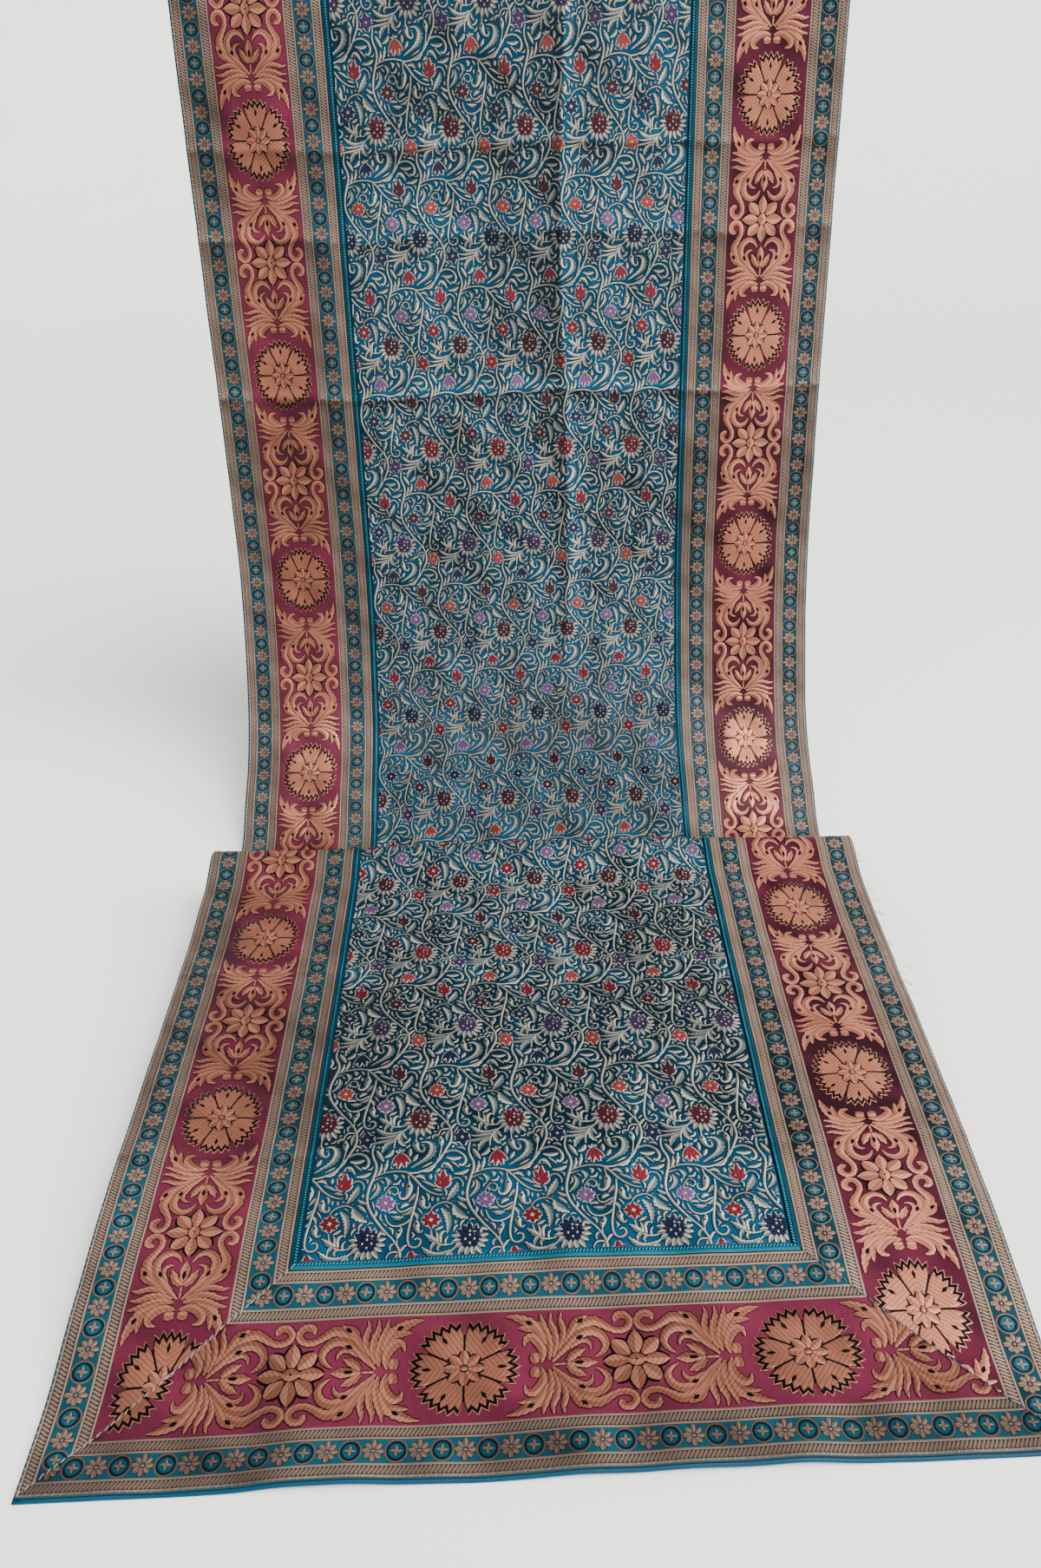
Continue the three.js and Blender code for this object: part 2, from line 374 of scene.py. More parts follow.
def flat_slab(columns, rows, upper, lower, mitres=()):
    """A closed piece of cloth in the flat: x across, y along and z out, cut at any mitre lines."""
    form = bmesh.new()
    across, along = len(columns) - 1, len(rows) - 1
    bmesh.ops.create_grid(form, x_segments=across, y_segments=along, size=1)
    for vert in form.verts:
        vert.co.x = columns[round((vert.co.x + 1) / 2 * across)]
        vert.co.y = rows[round((vert.co.y + 1) / 2 * along)]
        vert.co.z = lower
    for place, away in mitres:
        cut_off(form, place, away)
    bmesh.ops.reverse_faces(form, faces=form.faces)
    top = bmesh.ops.extrude_face_region(form, geom=form.faces[:])["geom"]
    raised = [part for part in top if isinstance(part, bmesh.types.BMVert)]
    bmesh.ops.translate(form, verts=raised, vec=(0, 0, upper - lower))
    bmesh.ops.recalc_face_normals(form, faces=form.faces)
    return form


def cut_off(form, place, away):
    """Trims a flat form at the line through place, on the side that away points to."""
    bmesh.ops.bisect_plane(
        form,
        geom=form.verts[:] + form.edges[:] + form.faces[:],
        plane_co=(*place, 0),
        plane_no=(*away, 0),
        clear_outer=True,
    )


def as_sewn(form, x, y):
    """Where a flat form's own axes fall on the whole cloth: here they are the cloth's own."""
    return x, y


def lay_down(name, form, finishes, place=as_sewn, smooth=True, towards=((0.0,), (0.0,))):
    """Lays a flat form on the lying cloth as a piece. Its UV map keeps the flat places, in metres, and its
    catch attribute the painted sheen and shade at each place: towards adds to it, or takes from it where negative, at
    lengths from the hem."""
    mesh = bpy.data.meshes.new(name)
    form.to_mesh(mesh)
    form.free()
    for finish in finishes:
        mesh.materials.append(finish.material)
    flat = np.empty(len(mesh.vertices) * 3)
    mesh.vertices.foreach_get("co", flat)
    flat = flat.reshape(-1, 3)
    corners = np.empty(len(mesh.loops), dtype=np.int32)
    mesh.loops.foreach_get("vertex_index", corners)
    mesh.uv_layers.new(name="flat").uv.foreach_set("vector", flat[corners, :2].astype(np.float32).ravel())
    x, s = place(flat, flat[:, 0], flat[:, 1])
    mesh.vertices.foreach_set("co", on_lie(x, s, flat[:, 2]).ravel())
    # The painted sheen and shade, which the materials mix or multiply into the dyes.
    mesh.attributes.new("catch", "FLOAT", "POINT").data.foreach_set("value", painted_light_at(x, s) + np.interp(s, *towards))
    mesh.shade_smooth() if smooth else mesh.shade_flat()
    mesh.update()
    piece = bpy.data.objects.new(name, mesh)
    bpy.context.scene.collection.objects.link(piece)
    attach(piece, "root")
    return piece


lining_silk = Finish("lining_silk", Specular_IOR_Level=0.12)
flat_place = lining_silk.node("ShaderNodeUVMap", {"uv_map": "flat"}, {})
drawn = lining_silk.stretched(flat_place, (1.0, 0.06, 1.0))
streaks = lining_silk.noise(drawn, 900.0, 3.0)
tone = lining_silk.noise(flat_place, 14.0, 3.0)
shade = lining_silk.mix(tone, linear(1, 54, 78), linear(2, 70, 98))
lining_silk.feed("Base Color", lining_silk.mix(streaks * 0.5, shade, linear(1, 36, 58)))
lining_silk.feed("Roughness", 0.42 + streaks * 0.18)
lining_silk.relief(streaks, 0.00012)

lining_step = 0.0040
lining_form = flat_slab(
    np.linspace(-width / 2, width / 2, 101),
    along_rows(0.0, length, lining_step),
    -brocade_thickness - seam_gap,
    -cloth_thickness,
)
lining = lay_down("lining", lining_form, [lining_silk])
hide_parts("backing")

# The panel
# The middle length of brocade: a teal satin ground with a fine diagonal weave, sewn inside the border.
half_panel = 0.10635
panel_low, panel_high = 0.0928, length - 0.0928

panel_silk = Finish("panel_silk", Specular_IOR_Level=0.08)
flat_place = panel_silk.node("ShaderNodeUVMap", {"uv_map": "flat"}, {})
split = panel_silk.node("ShaderNodeSeparateXYZ", {}, {"Vector": flat_place})
across = split
along = panel_silk.node("ShaderNodeSeparateXYZ", {}, {"Vector": flat_place}, 1)
twill = abs((across + along * 0.6) * 1400.0 % 1.0 - 0.5) * 2.0
tone = panel_silk.noise(flat_place, 30.0, 4.0)
# The satin ground is painted darker or lighter by the painted sheen and shade, with a little random tone on top.
catch = panel_silk.node("ShaderNodeAttribute", {"attribute_name": "catch"}, {}, 2)
threads = panel_silk.noise(panel_silk.stretched(flat_place, (0.12, 1.0, 1.0)), 1100.0, 2.0)
shade = panel_silk.mix(catch * 1.4 - 0.2 + (tone - 0.5) * 0.3, linear(0, 12, 23), linear(0, 70, 106))
shade = panel_silk.mix(threads * 0.4, shade, linear(0, 9, 17))
panel_silk.feed("Base Color", panel_silk.mix(twill * 0.12, shade, linear(2, 80, 114)))
panel_silk.feed("Roughness", 0.34 + threads * 0.25)
panel_silk.relief(twill * 0.5 + threads, 0.00014)

panel_form = flat_slab(
    np.linspace(-half_panel, half_panel, 73),
    along_rows(panel_low, panel_high, 0.0032),
    0.0,
    -brocade_thickness,
)
# Painted shade on the panel between 0.16 and 0.36 m from the hem.
panel_painted_shade = ((0.13, 0.16, 0.36, 0.4), (0.0, -0.16, -0.2, 0.0))
panel = lay_down("panel_brocade", panel_form, [panel_silk], towards=panel_painted_shade)
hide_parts("panel")

# The vines of the panel
# Champagne and cream weft floats drawn over the satin: stems, feathered leaves and curled drops, each with
# a dark outline thread that also stands in as painted shade round the raised float. One repeat is drawn flat
# in millimetres, and the loom sets it in half-drop rows.
across_repeat, row_repeat = 45.0, 65.0
outline_dye = linear(0, 16, 26)
cream_dye, taupe_painted_shade_dye = linear(168, 162, 149), linear(84, 89, 87)


def smooth_line(points, step):
    """Evenly spaced points on a smooth line through a few given ones."""
    knots = np.array(points, float)
    ends = 2 * knots[0] - knots[1], 2 * knots[-1] - knots[-2]
    knots = np.vstack([ends[0], knots, ends[1]])
    t = np.linspace(0, 1, 8, endpoint=False)[:, None]
    parts = [
        b + ((c - a) * t + (2 * a - 5 * b + 4 * c - d) * t**2 + (3 * b - 3 * c + d - a) * t**3) / 2
        for a, b, c, d in zip(knots, knots[1:], knots[2:], knots[3:])
    ]
    dense = np.vstack([*parts, knots[-2:-1]])
    run = np.r_[0, np.cumsum(np.linalg.norm(np.diff(dense, axis=0), axis=1))]
    at = np.linspace(0, run[-1], max(3, math.ceil(run[-1] / step) + 1))
    return np.stack([np.interp(at, run, dense[:, 0]), np.interp(at, run, dense[:, 1])], 1)


def woven_form():
    """An empty flat form whose faces carry a dye and the number of the figure that they belong to."""
    form = bmesh.new()
    form.faces.layers.float_color.new("dye")
    form.faces.layers.int.new("figure")
    return form


def stroke(form, points, widths, dyes, rim=0.65, rise=0.34, step=1.7, barbs=0.0, figure=0, ground=0.1):
    """One float of thread, swelling and tapering along its line, higher down its middle, with outlines.

    dyes are the outline, one side and the other side; no rim leaves the outline away."""
    line = smooth_line(points, step)
    count = len(line)
    share = np.linspace(0, 1, count)
    half = np.interp(share, np.linspace(0, 1, len(widths)), widths) / 2
    if barbs:
        half = half * np.where(np.arange(count) % 2, 1 - barbs, 1 + barbs / 2)
    heading = np.gradient(line, axis=0)
    heading /= np.linalg.norm(heading, axis=1)[:, None]
    side = np.stack([-heading[:, 1], heading[:, 0]], 1)
    spots = [(-1, -rim), (-1, 0), (0, 0), (1, 0), (1, rim)] if rim else [(-1, 0), (0, 0), (1, 0)]
    heights = [0, 0.35, 1, 0.35, 0] if rim else [0, 1, 0]
    bands = [dyes[0], dyes[1], dyes[2], dyes[0]] if rim else dyes[1:]
    columns = len(spots) - 1
    verts = bmesh.ops.create_grid(form, x_segments=columns, y_segments=count - 1, size=1)["verts"]
    dye, number = form.faces.layers.float_color["dye"], form.faces.layers.int["figure"]
    for face in {face for vert in verts for face in vert.link_faces}:
        column = int((face.calc_center_median().x + 1) / 2 * columns)
        face[dye], face[number] = bands[column], figure
    for vert in verts:
        column = round((vert.co.x + 1) / 2 * columns)
        row = round((vert.co.y + 1) / 2 * (count - 1))
        scale, extra = spots[column]
        place = line[row] + side[row] * -(scale * half[row] + extra)
        swell = min(1.0, half[row] / 0.6)
        vert.co = (*place, ground + heights[column] * rise * swell)
    return verts


def shifted(verts, form, place, turn=0.0):
    """Turns what was drawn about the origin, and moves it to its place."""
    bmesh.ops.rotate(form, verts=verts, cent=(0, 0, 0), matrix=Matrix.Rotation(turn, 3, "Z"))
    bmesh.ops.translate(form, verts=verts, vec=(*place, 0))


# Each float is a cream half and a taupe half: painted highlight on one side and painted shade on the other side of one
# thread. The dark rim round it is an outline thread and also painted shade where the float rises off the ground.
stem_dyes = (outline_dye, cream_dye, taupe_painted_shade_dye)
leaf_dyes = (outline_dye, taupe_painted_shade_dye, cream_dye)
stems = [
    ([(1, 52), (0.2, 48), (0.8, 44.5), (2.2, 41), (2.4, 37.5), (1, 32.5), (-0.5, 27), (-1, 22), (-0.3, 18),
      (1.5, 13.8), (4.3, 9.3), (6.8, 5.8), (9, 3.2)], [1.2, 2, 2.2, 2.2, 2, 2.1, 1.6]),
    ([(9, 3.2), (11, 0.8), (13, -2.2), (14.3, -5), (14.8, -9), (14.3, -12.5), (12.8, -16), (11, -19.5),
      (9, -23), (6, -26.2), (2.5, -28.2), (-1.5, -29.6), (-5.5, -29.5)], [1.4, 1.8, 2, 1.8, 1.6, 1.8]),
    ([(0.9, 33), (3.5, 34.6), (7.5, 36), (12.5, 36.4), (17, 35.6)], [1, 1.5, 1.7]),
    ([(0.3, 31), (3.2, 32.6), (6.2, 33.6)], [1, 1.3, 0.6]),
    ([(17, 35.5), (20, 32.5), (23, 28.5), (26.5, 25.2), (30.5, 23.2), (33.2, 23)], [1.6, 2, 1.6, 1.2]),
    ([(22, 28), (21.6, 23), (20.6, 18.5), (19.6, 14), (18.6, 9), (17.7, 4), (17.6, 0), (18.6, -2.7),
      (21, -3.7), (23.3, -2.4), (23.6, -0.2), (22, 1), (20.6, 0.3)], [1.2, 2, 2, 1.8, 1.8, 1.6, 1.8, 1.2]),
    ([(19.3, 12), (17.5, 9.6), (14.5, 8), (11.3, 7.8), (8.8, 9.8), (7.6, 13.6)], [1.2, 1.6, 1.4, 1.2]),
    ([(20.4, 17.6), (18, 16.6), (15.5, 15), (13.6, 15.6), (12.6, 17.8), (12.9, 19.6), (13.9, 19.2)],
     [1.2, 1.6, 1.5, 1, 0.8]),
    ([(-6, -4.2), (-8.5, -6), (-10.8, -8.5), (-12, -12), (-12.2, -16)], [1.2, 1.6, 1.6, 1.2]),
    ([(-7, -2.3), (-10.5, -3), (-13.5, -2.2), (-15.8, -0.5), (-16.8, 3), (-17, 5)], [1, 1.4, 1.6, 1.2]),
    ([(-17, 14.8), (-16, 16.8), (-13.5, 18.4), (-10, 19), (-7.3, 17.6)], [1.2, 1.4, 1.2]),
    ([(7.5, -25), (9.5, -21.5), (12.5, -18.8), (16.5, -18), (20, -19.8), (21.3, -23), (20.3, -25.8),
      (18.4, -25.4)], [1.2, 1.6, 1.8, 1.8, 2.4, 2.6]),
    ([(-8.8, 29.5), (-6.5, 31.9), (-3.9, 31.3), (-2.6, 28.8), (-2.8, 27)], [1.2, 1.4, 1.3, 0.8]),
    ([(7.4, 24), (8.4, 26), (10, 28), (12.3, 27.6), (13, 25.5), (11.7, 23.8), (10.4, 24.8)],
     [0.9, 1.1, 1.2, 1.2, 1.1]),
    ([(-1.8, -8.5), (-2, -11.5)], [1, 1]),
    ([(13, 0.6), (13.2, -2.5)], [0.9, 0.9]),
    ([(10.1, -15.6), (9.7, -18.5), (9, -21)], [1, 1.1, 0.8]),
    ([(17.4, 34), (17.9, 30.5)], [1, 1]),
    ([(13.9, -5.4), (11.6, -4.9), (9.3, -6.2), (8.7, -8.6)], [1.2, 1.5, 1.2, 0.8]),
]
leaves = [
    ([(-6.8, 17.2), (-5.8, 14), (-3.5, 11.8), (-0.4, 10)], [1.2, 4.4, 3.6, 0.6], 0.2),
    ([(-12.2, 15.8), (-10, 12.6), (-9.2, 8.5), (-9.5, 4.5), (-9.9, 2.6)], [1.4, 3.2, 3, 2, 0.5], 0.25),
    ([(-14, -1.8), (-17, 0.2), (-19.8, 2.6)], [2.4, 2.8, 0.8], 0.2),
    ([(-14.6, -1.4), (-14.4, 1.4), (-14.8, 3.6)], [1.6, 1.4, 0.5], 0),
    ([(-12.8, -2), (-13.3, 1), (-12.2, 3.4), (-10.4, 3.8)], [1.2, 2, 1.8, 0.6], 0),
    ([(-10.6, -2.8), (-10.9, -0.6), (-9.6, 1)], [1.2, 1.2, 0.5], 0),
    ([(-15, -1.6), (-16.6, -3.6), (-16.8, -5.4)], [1.6, 1.8, 0.5], 0),
    ([(-12.4, -3), (-14, -4.2), (-13.4, -5.8)], [1.2, 1.5, 0.5], 0),
    ([(-8.6, -5.8), (-12, -7.3), (-16, -7.3), (-19, -5.6), (-21, -3.6)], [1, 1.8, 2.2, 2.6, 0.6], 0.2),
    ([(-10.6, -8.4), (-14, -9.2), (-18, -9.5), (-21, -9)], [1, 1.6, 1.6, 0.5], 0.2),
    ([(-11.4, -10.2), (-15, -11.4), (-19, -12), (-22, -12.4)], [1, 1.7, 1.6, 1], 0.15),
    ([(-12.2, -11.8), (-14.8, -13), (-16.6, -15.2), (-17.4, -18.2)], [1, 2.4, 2.6, 0.6], 0.25),
    ([(-8.9, -6.6), (-9.5, -9.8), (-8.7, -13), (-6.6, -14.6)], [1, 2.4, 2.4, 0.6], 0.2),
    ([(-7.9, -6.8), (-7.3, -8.8), (-6.2, -10.4)], [0.8, 1.6, 0.6], 0),
    ([(-7.4, -12.6), (-5.6, -12), (-4.8, -10)], [0.8, 1.5, 0.8], 0),
    ([(0.6, -12.8), (3.4, -12.6), (5.6, -14.2), (6.3, -17), (5.4, -20), (3, -22.6), (-0.6, -25), (-3.6, -27)],
     [0.6, 1.6, 3, 3.6, 3, 2, 1.4, 0.8], 0.22),
    ([(3.4, 30.6), (4.4, 27.4), (3, 24), (0.4, 21.4)], [0.6, 2, 1.8, 0.8], 0),
    ([(2.4, 12.6), (3.5, 14.2), (3.1, 16)], [1, 1.8, 0.6], 0),
    ([(-5, 29), (-5.8, 26), (-7.8, 22.6), (-9.8, 19.8)], [1, 3.4, 3.2, 0.6], 0.2),
    ([(-0.9, 19.4), (-3, 19.9), (-5, 21.6)], [1, 2, 0.8], 0),
    ([(7, 33.4), (8.9, 31.2), (8.2, 28.6)], [1, 2.4, 0.6], 0.15),
    ([(10.6, 29.8), (12.6, 29.8), (14, 32)], [0.8, 1.5, 0.5], 0),
    ([(20.8, 24), (19.3, 21.6), (17.8, 20)], [1, 1.7, 0.5], 0),
    ([(19.6, 15.8), (17.6, 13.6), (15.2, 13.4)], [1, 1.6, 0.5], 0),
    ([(15.8, 12.2), (13, 11.6), (10.4, 12.6)], [1, 2.8, 0.6], 0.25),
    ([(20, 14.8), (21.8, 12.6), (21.9, 10.4)], [0.8, 1.8, 0.5], 0),
    ([(3.4, 35), (4.6, 38), (4.9, 41)], [1, 1.9, 0.5], 0.15),
    ([(6, 36.4), (7, 39.6), (7.6, 43)], [1, 2.1, 0.6], 0.2),
    ([(13.6, -6.4), (12.8, -9), (12.6, -12)], [0.8, 1.6, 0.4], 0),
    ([(8.8, -8.8), (6.6, -9), (6, -10.8)], [1, 1.8, 0.7], 0),
    ([(2, 1.2), (1.8, 4.2), (3.2, 7)], [1, 2.8, 0.8], 0),
    ([(4.4, 2.6), (5.6, 4.6), (8, 3.4)], [1.4, 2, 0.8], 0),
    ([(14.6, -5.2), (16, -3), (17.4, -2)], [1, 1.7, 0.5], 0),
    ([(11.6, -1.2), (10.2, -2.6), (10.6, -4.4)], [0.8, 1.5, 0.4], 0),
    ([(14.2, 3.6), (14.9, 5.8), (14, 7.4)], [1.4, 1.3, 0.5], 0),
    ([(24.2, 36), (27, 36.6), (29.8, 39)], [1, 2.2, 0.6], 0.2),
    ([(20.6, 33.2), (23.4, 33.6), (25.4, 31.4)], [0.8, 2.4, 0.6], 0.2),
    ([(14.6, -13), (16.4, -13.2), (17.6, -14.8)], [0.8, 1.5, 0.5], 0),
]
drops = [
    ([(24, 23), (23.7, 20.2), (24.2, 17.4), (26, 16.2), (27.6, 17.2), (27.2, 19)], [0.8, 3.6, 3, 1.6, 1.2, 0.7]),
    ([(21.6, 10), (21.4, 7.4), (21.9, 4.6), (23.4, 3.4), (24.4, 4.8)], [0.8, 3.6, 2.4, 1.3, 0.7]),
    ([(14.2, 6), (13.4, 3.6), (13, 0.8)], [0.6, 3.4, 0.8]),
    ([(9.4, -9.4), (9.9, -12.8), (10.1, -15.6)], [1, 3.6, 0.8]),
    ([(-2, -11.3), (-2, -14), (-1.2, -17), (0.8, -18.6), (2.4, -17.4), (1.9, -15.6)], [0.8, 3.8, 2.8, 1.6, 1.2, 0.7]),
    ([(10, -27.2), (12.2, -25.6), (14, -27), (15.4, -29.4)], [1, 3.6, 1.8, 0.7]),
    ([(17.9, 31), (18, 27), (17, 23), (15, 21.8), (13.6, 23.4), (14.2, 25.4)], [0.8, 3.8, 3.2, 2, 1.3, 0.8]),
]
beads = [(-6, 8.5), (-16.3, 21), (-13.8, 20.6), (9.4, 25.2), (15.2, 29), (-2.6, 23.6)]


def shell(form, place, spread, turn, size, dyes, figure):
    """Petals set round a point, each an outlined drop."""
    for angle, reach, broad in spread:
        petal = stroke(
            form, [(0, size[0]), (0, reach)], [broad * 0.4, broad, broad * 0.9, broad * 0.25], dyes,
            rim=size[1], step=1.2, figure=figure, rise=0.42, ground=0.12,
        )
        shifted(petal, form, place, turn + math.radians(angle))


def flowers(form):
    """The coloured flowers of one repeat. A figure's number says which of the row's silks it takes."""
    row_silk = (1, 1, 1, 1)
    petal_dyes = (cream_dye, row_silk, row_silk)
    ring = [(angle, 8.2 + 1.2 * (140 < angle < 225), 2.3) for angle in range(82, 285, 22)]
    shell(form, (0, 0), ring, 0.0, (4.2, 0.5), leaf_dyes, 0)
    crown = [(-52, 6.8, 2.4), (-26, 7.2, 2.6), (0, 7.8, 2.6), (26, 7.2, 2.6), (52, 6.8, 2.4)]
    shell(form, (0, 0), crown, 0.0, (4, 0.45), (cream_dye, row_silk, row_silk), 1)
    shifted(stroke(form, [(0, -5), (0, 0), (0, 5)], [5.6, 9.6, 10.2, 9.6, 5.6], (outline_dye,) * 3,
                   rim=0.5, step=1.6, rise=0.2, ground=0.14), form, (0, 0))
    for row, count in enumerate((3, 4, 5, 4, 3)):
        for place in range(count):
            spot = ((place - (count - 1) / 2) * 2.1, (2 - row) * 1.95)
            shifted(stroke(form, [(-1.1, 0), (0, 0.01), (1.1, 0)], [1.1, 2.1, 1.1], (outline_dye, row_silk, row_silk),
                           rim=0, step=1.2, figure=1, rise=0.5, ground=0.3), form, spot)
    for spot in ((0, 0.9), (-2.0, -1.0), (2.0, -1.0), (0, -2.9), (0.1, 3.0)):
        shifted(stroke(form, [(0, -0.55), (0, 0.55)], [0.4, 1.0, 0.4], (cream_dye,) * 3, rim=0, step=0.6,
                       rise=0.2, ground=0.72), form, spot)
    eight = [(45 * k, 4.1 + 0.35 * (k % 2 == 0), 2.3) for k in range(8)]
    shell(form, (7.6, 19.5), eight, 0.2, (0.7, 0.5), petal_dyes, 2)
    shell(form, (-17, 10), eight, 0.0, (0.9, 0.5), petal_dyes, 3)
    shell(form, (20, -10), [(60 * k, 4.8 if k % 3 == 0 else 3.9, 3.1) for k in range(6)], 0.15, (0.7, 0.5), petal_dyes, 4)
    shell(form, (-9, -18.6), [(-34, 7.4, 2.2), (-12, 8.4, 2.2), (12, 8.4, 2.2), (34, 7.4, 2.2)], math.pi + 0.1,
          (0.2, 0.45), petal_dyes, 5)
    shell(form, (-9, -18.4), [(-60, 2.6, 1.6), (0, 2.2, 1.8), (60, 2.6, 1.6)], 0.1, (0.1, 0.4), stem_dyes, 0)
    shell(form, (11, -38.2), [(-38, 4.8, 2.3), (-16, 7.6, 2.6), (6, 10.0, 2.8), (28, 8.4, 2.5), (50, 5.4, 2.3)],
          -0.1, (0.4, 0.5), petal_dyes, 6)
    shell(form, (9.7, -36.6), [(0, 2.6, 1.8)], 0.0, (0.2, 0.2), (cream_dye, cream_dye, cream_dye), 0)
    for spot in ((7.6, 19.5), (-17, 10), (20, -10)):
        shell(form, spot, [(k * 90 + 20, 1.5, 1.1) for k in range(4)], 0.0, (0.1, 0), (cream_dye, cream_dye, cream_dye), 0)


def draw_repeat():
    form = woven_form()
    for points, widths in stems:
        stroke(form, points, [0.62 * wide for wide in widths], stem_dyes, rim=0.42)
    for points, widths, barbs in leaves:
        finer = [0.98 * wide for wide in widths]
        stroke(form, points, finer, leaf_dyes, rim=0.45, step=1.0 if barbs else 1.5, barbs=1.3 * barbs, rise=0.4)
    for points, widths in drops:
        stroke(form, points, [0.9 * wide for wide in widths], stem_dyes, rim=0.45, step=1.3, rise=0.42)
        eye = np.array(points[1]) + 0.3 * (np.array(points[0]) - np.array(points[1]))
        pupil = [(0, -0.9), (0, 0.1), (0, 0.8)]
        dot = stroke(form, pupil, [0.5, 1.3, 0.3], (outline_dye,) * 3, rim=0, step=0.9, rise=0.12, ground=0.46)
        shifted(dot, form, eye)
    for place in beads:
        dot = stroke(form, [(0, -1.1), (0, 1.1)], [0.5, 1.6, 0.5], stem_dyes, rim=0.35, step=0.9)
        shifted(dot, form, place)
    flowers(form)
    fill_gaps(form)
    return form


def fill_gaps(form, pitch=0.5, least=1.05, most=58):
    """Small leaves in the spaces that the vines leave, the widest space first, each turned to fit."""
    across, along = np.meshgrid(np.arange(0, across_repeat, pitch), np.arange(0, row_repeat, pitch))
    copies = [(across_repeat * (k + j / 2), row_repeat * j) for j in (-1, 0, 1) for k in (-2, -1, 0, 1, 2)]
    drawn = np.array([v.co[:2] for v in form.verts] + [face.calc_center_median()[:2] for face in form.faces])
    drawn = np.vstack([drawn + copy for copy in copies])
    middle = np.array([across_repeat, row_repeat]) / 2
    drawn = drawn[(np.abs(drawn - middle) < middle + 5).all(axis=1)]
    tree = KDTree(len(drawn))
    for number, (x, y) in enumerate(drawn):
        tree.insert((x, y, 0), number)
    tree.balance()
    clear = np.array([tree.find((x, y, 0))[2] for x, y in zip(across.flat, along.flat)]).reshape(across.shape)
    share = np.linspace(0, 1, 9)
    swell = np.interp(share, (0, 0.35, 0.7, 1), (0.25, 0.8, 1.0, 0.35))
    for _ in range(most):
        widest = np.unravel_index(clear.argmax(), clear.shape)
        if clear[widest] < least:
            break
        centre = np.array([across[widest], along[widest]])
        best = (0.0,)
        for angle in np.radians(range(0, 180, 15)):
            ahead = np.array([math.cos(angle), math.sin(angle)])
            for bend in (-0.8, 0.0, 0.8):
                aside = np.array([-ahead[1], ahead[0]]) * bend
                for half in (3.4, 2.7, 2.0, 1.4, 0.8):
                    points = centre - ahead * half - aside * 0.6, centre + aside * 0.4, centre + ahead * half - aside * 0.6
                    line = np.stack([np.interp(share, (0, 0.5, 1), axis) for axis in zip(*points)], 1)
                    up = np.floor(line[:, 1] / row_repeat)
                    column = ((line[:, 0] - up * across_repeat / 2) % across_repeat / pitch).astype(int)
                    row = (line[:, 1] % row_repeat / pitch).astype(int)
                    room = clear[row % clear.shape[0], column % clear.shape[1]]
                    wide = min(1.25, ((room - 0.42) / swell).min())
                    best = max(best, (wide * half, wide, points, line), key=lambda option: option[0])
        _, wide, points, line = best
        stroke(form, points, [wide * 0.6, wide * 1.6, wide * 1.9, wide * 0.6], leaf_dyes, step=2.0, rim=0.4)
        for spot, half_wide in zip(line, wide * swell):
            for copy in copies:
                away = np.hypot(across - spot[0] - copy[0], along - spot[1] - copy[1])
                clear = np.minimum(clear, away - half_wide - 0.25)


def in_row(form, step, count):
    """The same form again and again, one step on each time."""
    mesh = bpy.data.meshes.new("row")
    form.to_mesh(mesh)
    form.free()
    holder = bpy.data.objects.new("row", mesh)
    bpy.context.scene.collection.objects.link(holder)
    array = holder.modifiers.new("row", "ARRAY")
    array.use_relative_offset, array.use_constant_offset = False, True
    array.constant_offset_displace = (*step, 0)
    array.count = count
    bpy.context.view_layer.update()
    made = bpy.data.meshes.new_from_object(holder.evaluated_get(bpy.context.evaluated_depsgraph_get()))
    bpy.data.objects.remove(holder)
    longer = bmesh.new()
    longer.from_mesh(made)
    bpy.data.meshes.remove(made)
    return longer


silks = {
    "navy": linear(18, 16, 44), "maroon": linear(54, 7, 18), "purple": linear(50, 24, 62),
    "red": linear(96, 12, 20), "wine": linear(70, 8, 20), "coral": linear(126, 44, 38),
    "lilac": linear(96, 62, 100), "crimson": linear(102, 18, 32),
}
row_places = [34, 101.5, 174, 240, 302, 367, 436, 505, 574, 637, 697, 758.5, 824, 891, 955.5, 1017.5, 1085, 1150]
row_drift = [4.5, 4.5, 2, 0.5, -3, -6.5, -4, -2, 0, 0, 0, 0, 0, 0, 0, 0, 0, 0]
heart_silks = "maroon navy wine purple red maroon navy purple maroon navy maroon purple red maroon navy wine purple red".split()
small_silks = {
    2: "lilac coral maroon navy", 3: "red lilac navy maroon", 4: "red navy coral purple",
    5: "lilac crimson navy coral", 6: "maroon crimson maroon red",
}
figure_height = {1: 0, 2: 19.5, 3: 10, 4: -10, 5: -21.5, 6: -32}
first_row = -1


def dye_flowers(mesh):
    """Gives each flower the silk of its row, as the weaver changes the spools row by row."""
    numbers = np.empty(len(mesh.polygons), dtype=np.int32)
    mesh.attributes["figure"].data.foreach_get("value", numbers)
    middles = np.empty(len(mesh.polygons) * 3)
    mesh.polygons.foreach_get("center", middles)
    heights = middles.reshape(-1, 3)[:, 1]
    dyes = np.empty(len(mesh.polygons) * 4)
    mesh.attributes["dye"].data.foreach_get("color", dyes)
    dyes = dyes.reshape(-1, 4)
    for number, above in figure_height.items():
        rows = np.clip(np.round((heights - above) / row_repeat).astype(int) - first_row, 0, len(row_places) - 1)
        names = heart_silks if number == 1 else small_silks[number].split()
        palette = np.array([silks[names[(row + first_row) % len(names)] if number > 1 else names[row]]
                            for row in range(len(row_places))])
        inner = (numbers == number) & (dyes[:, 0] > 0.99)
        dyes[inner] = palette[rows[inner]]
    mesh.attributes["dye"].data.foreach_set("color", dyes.ravel())


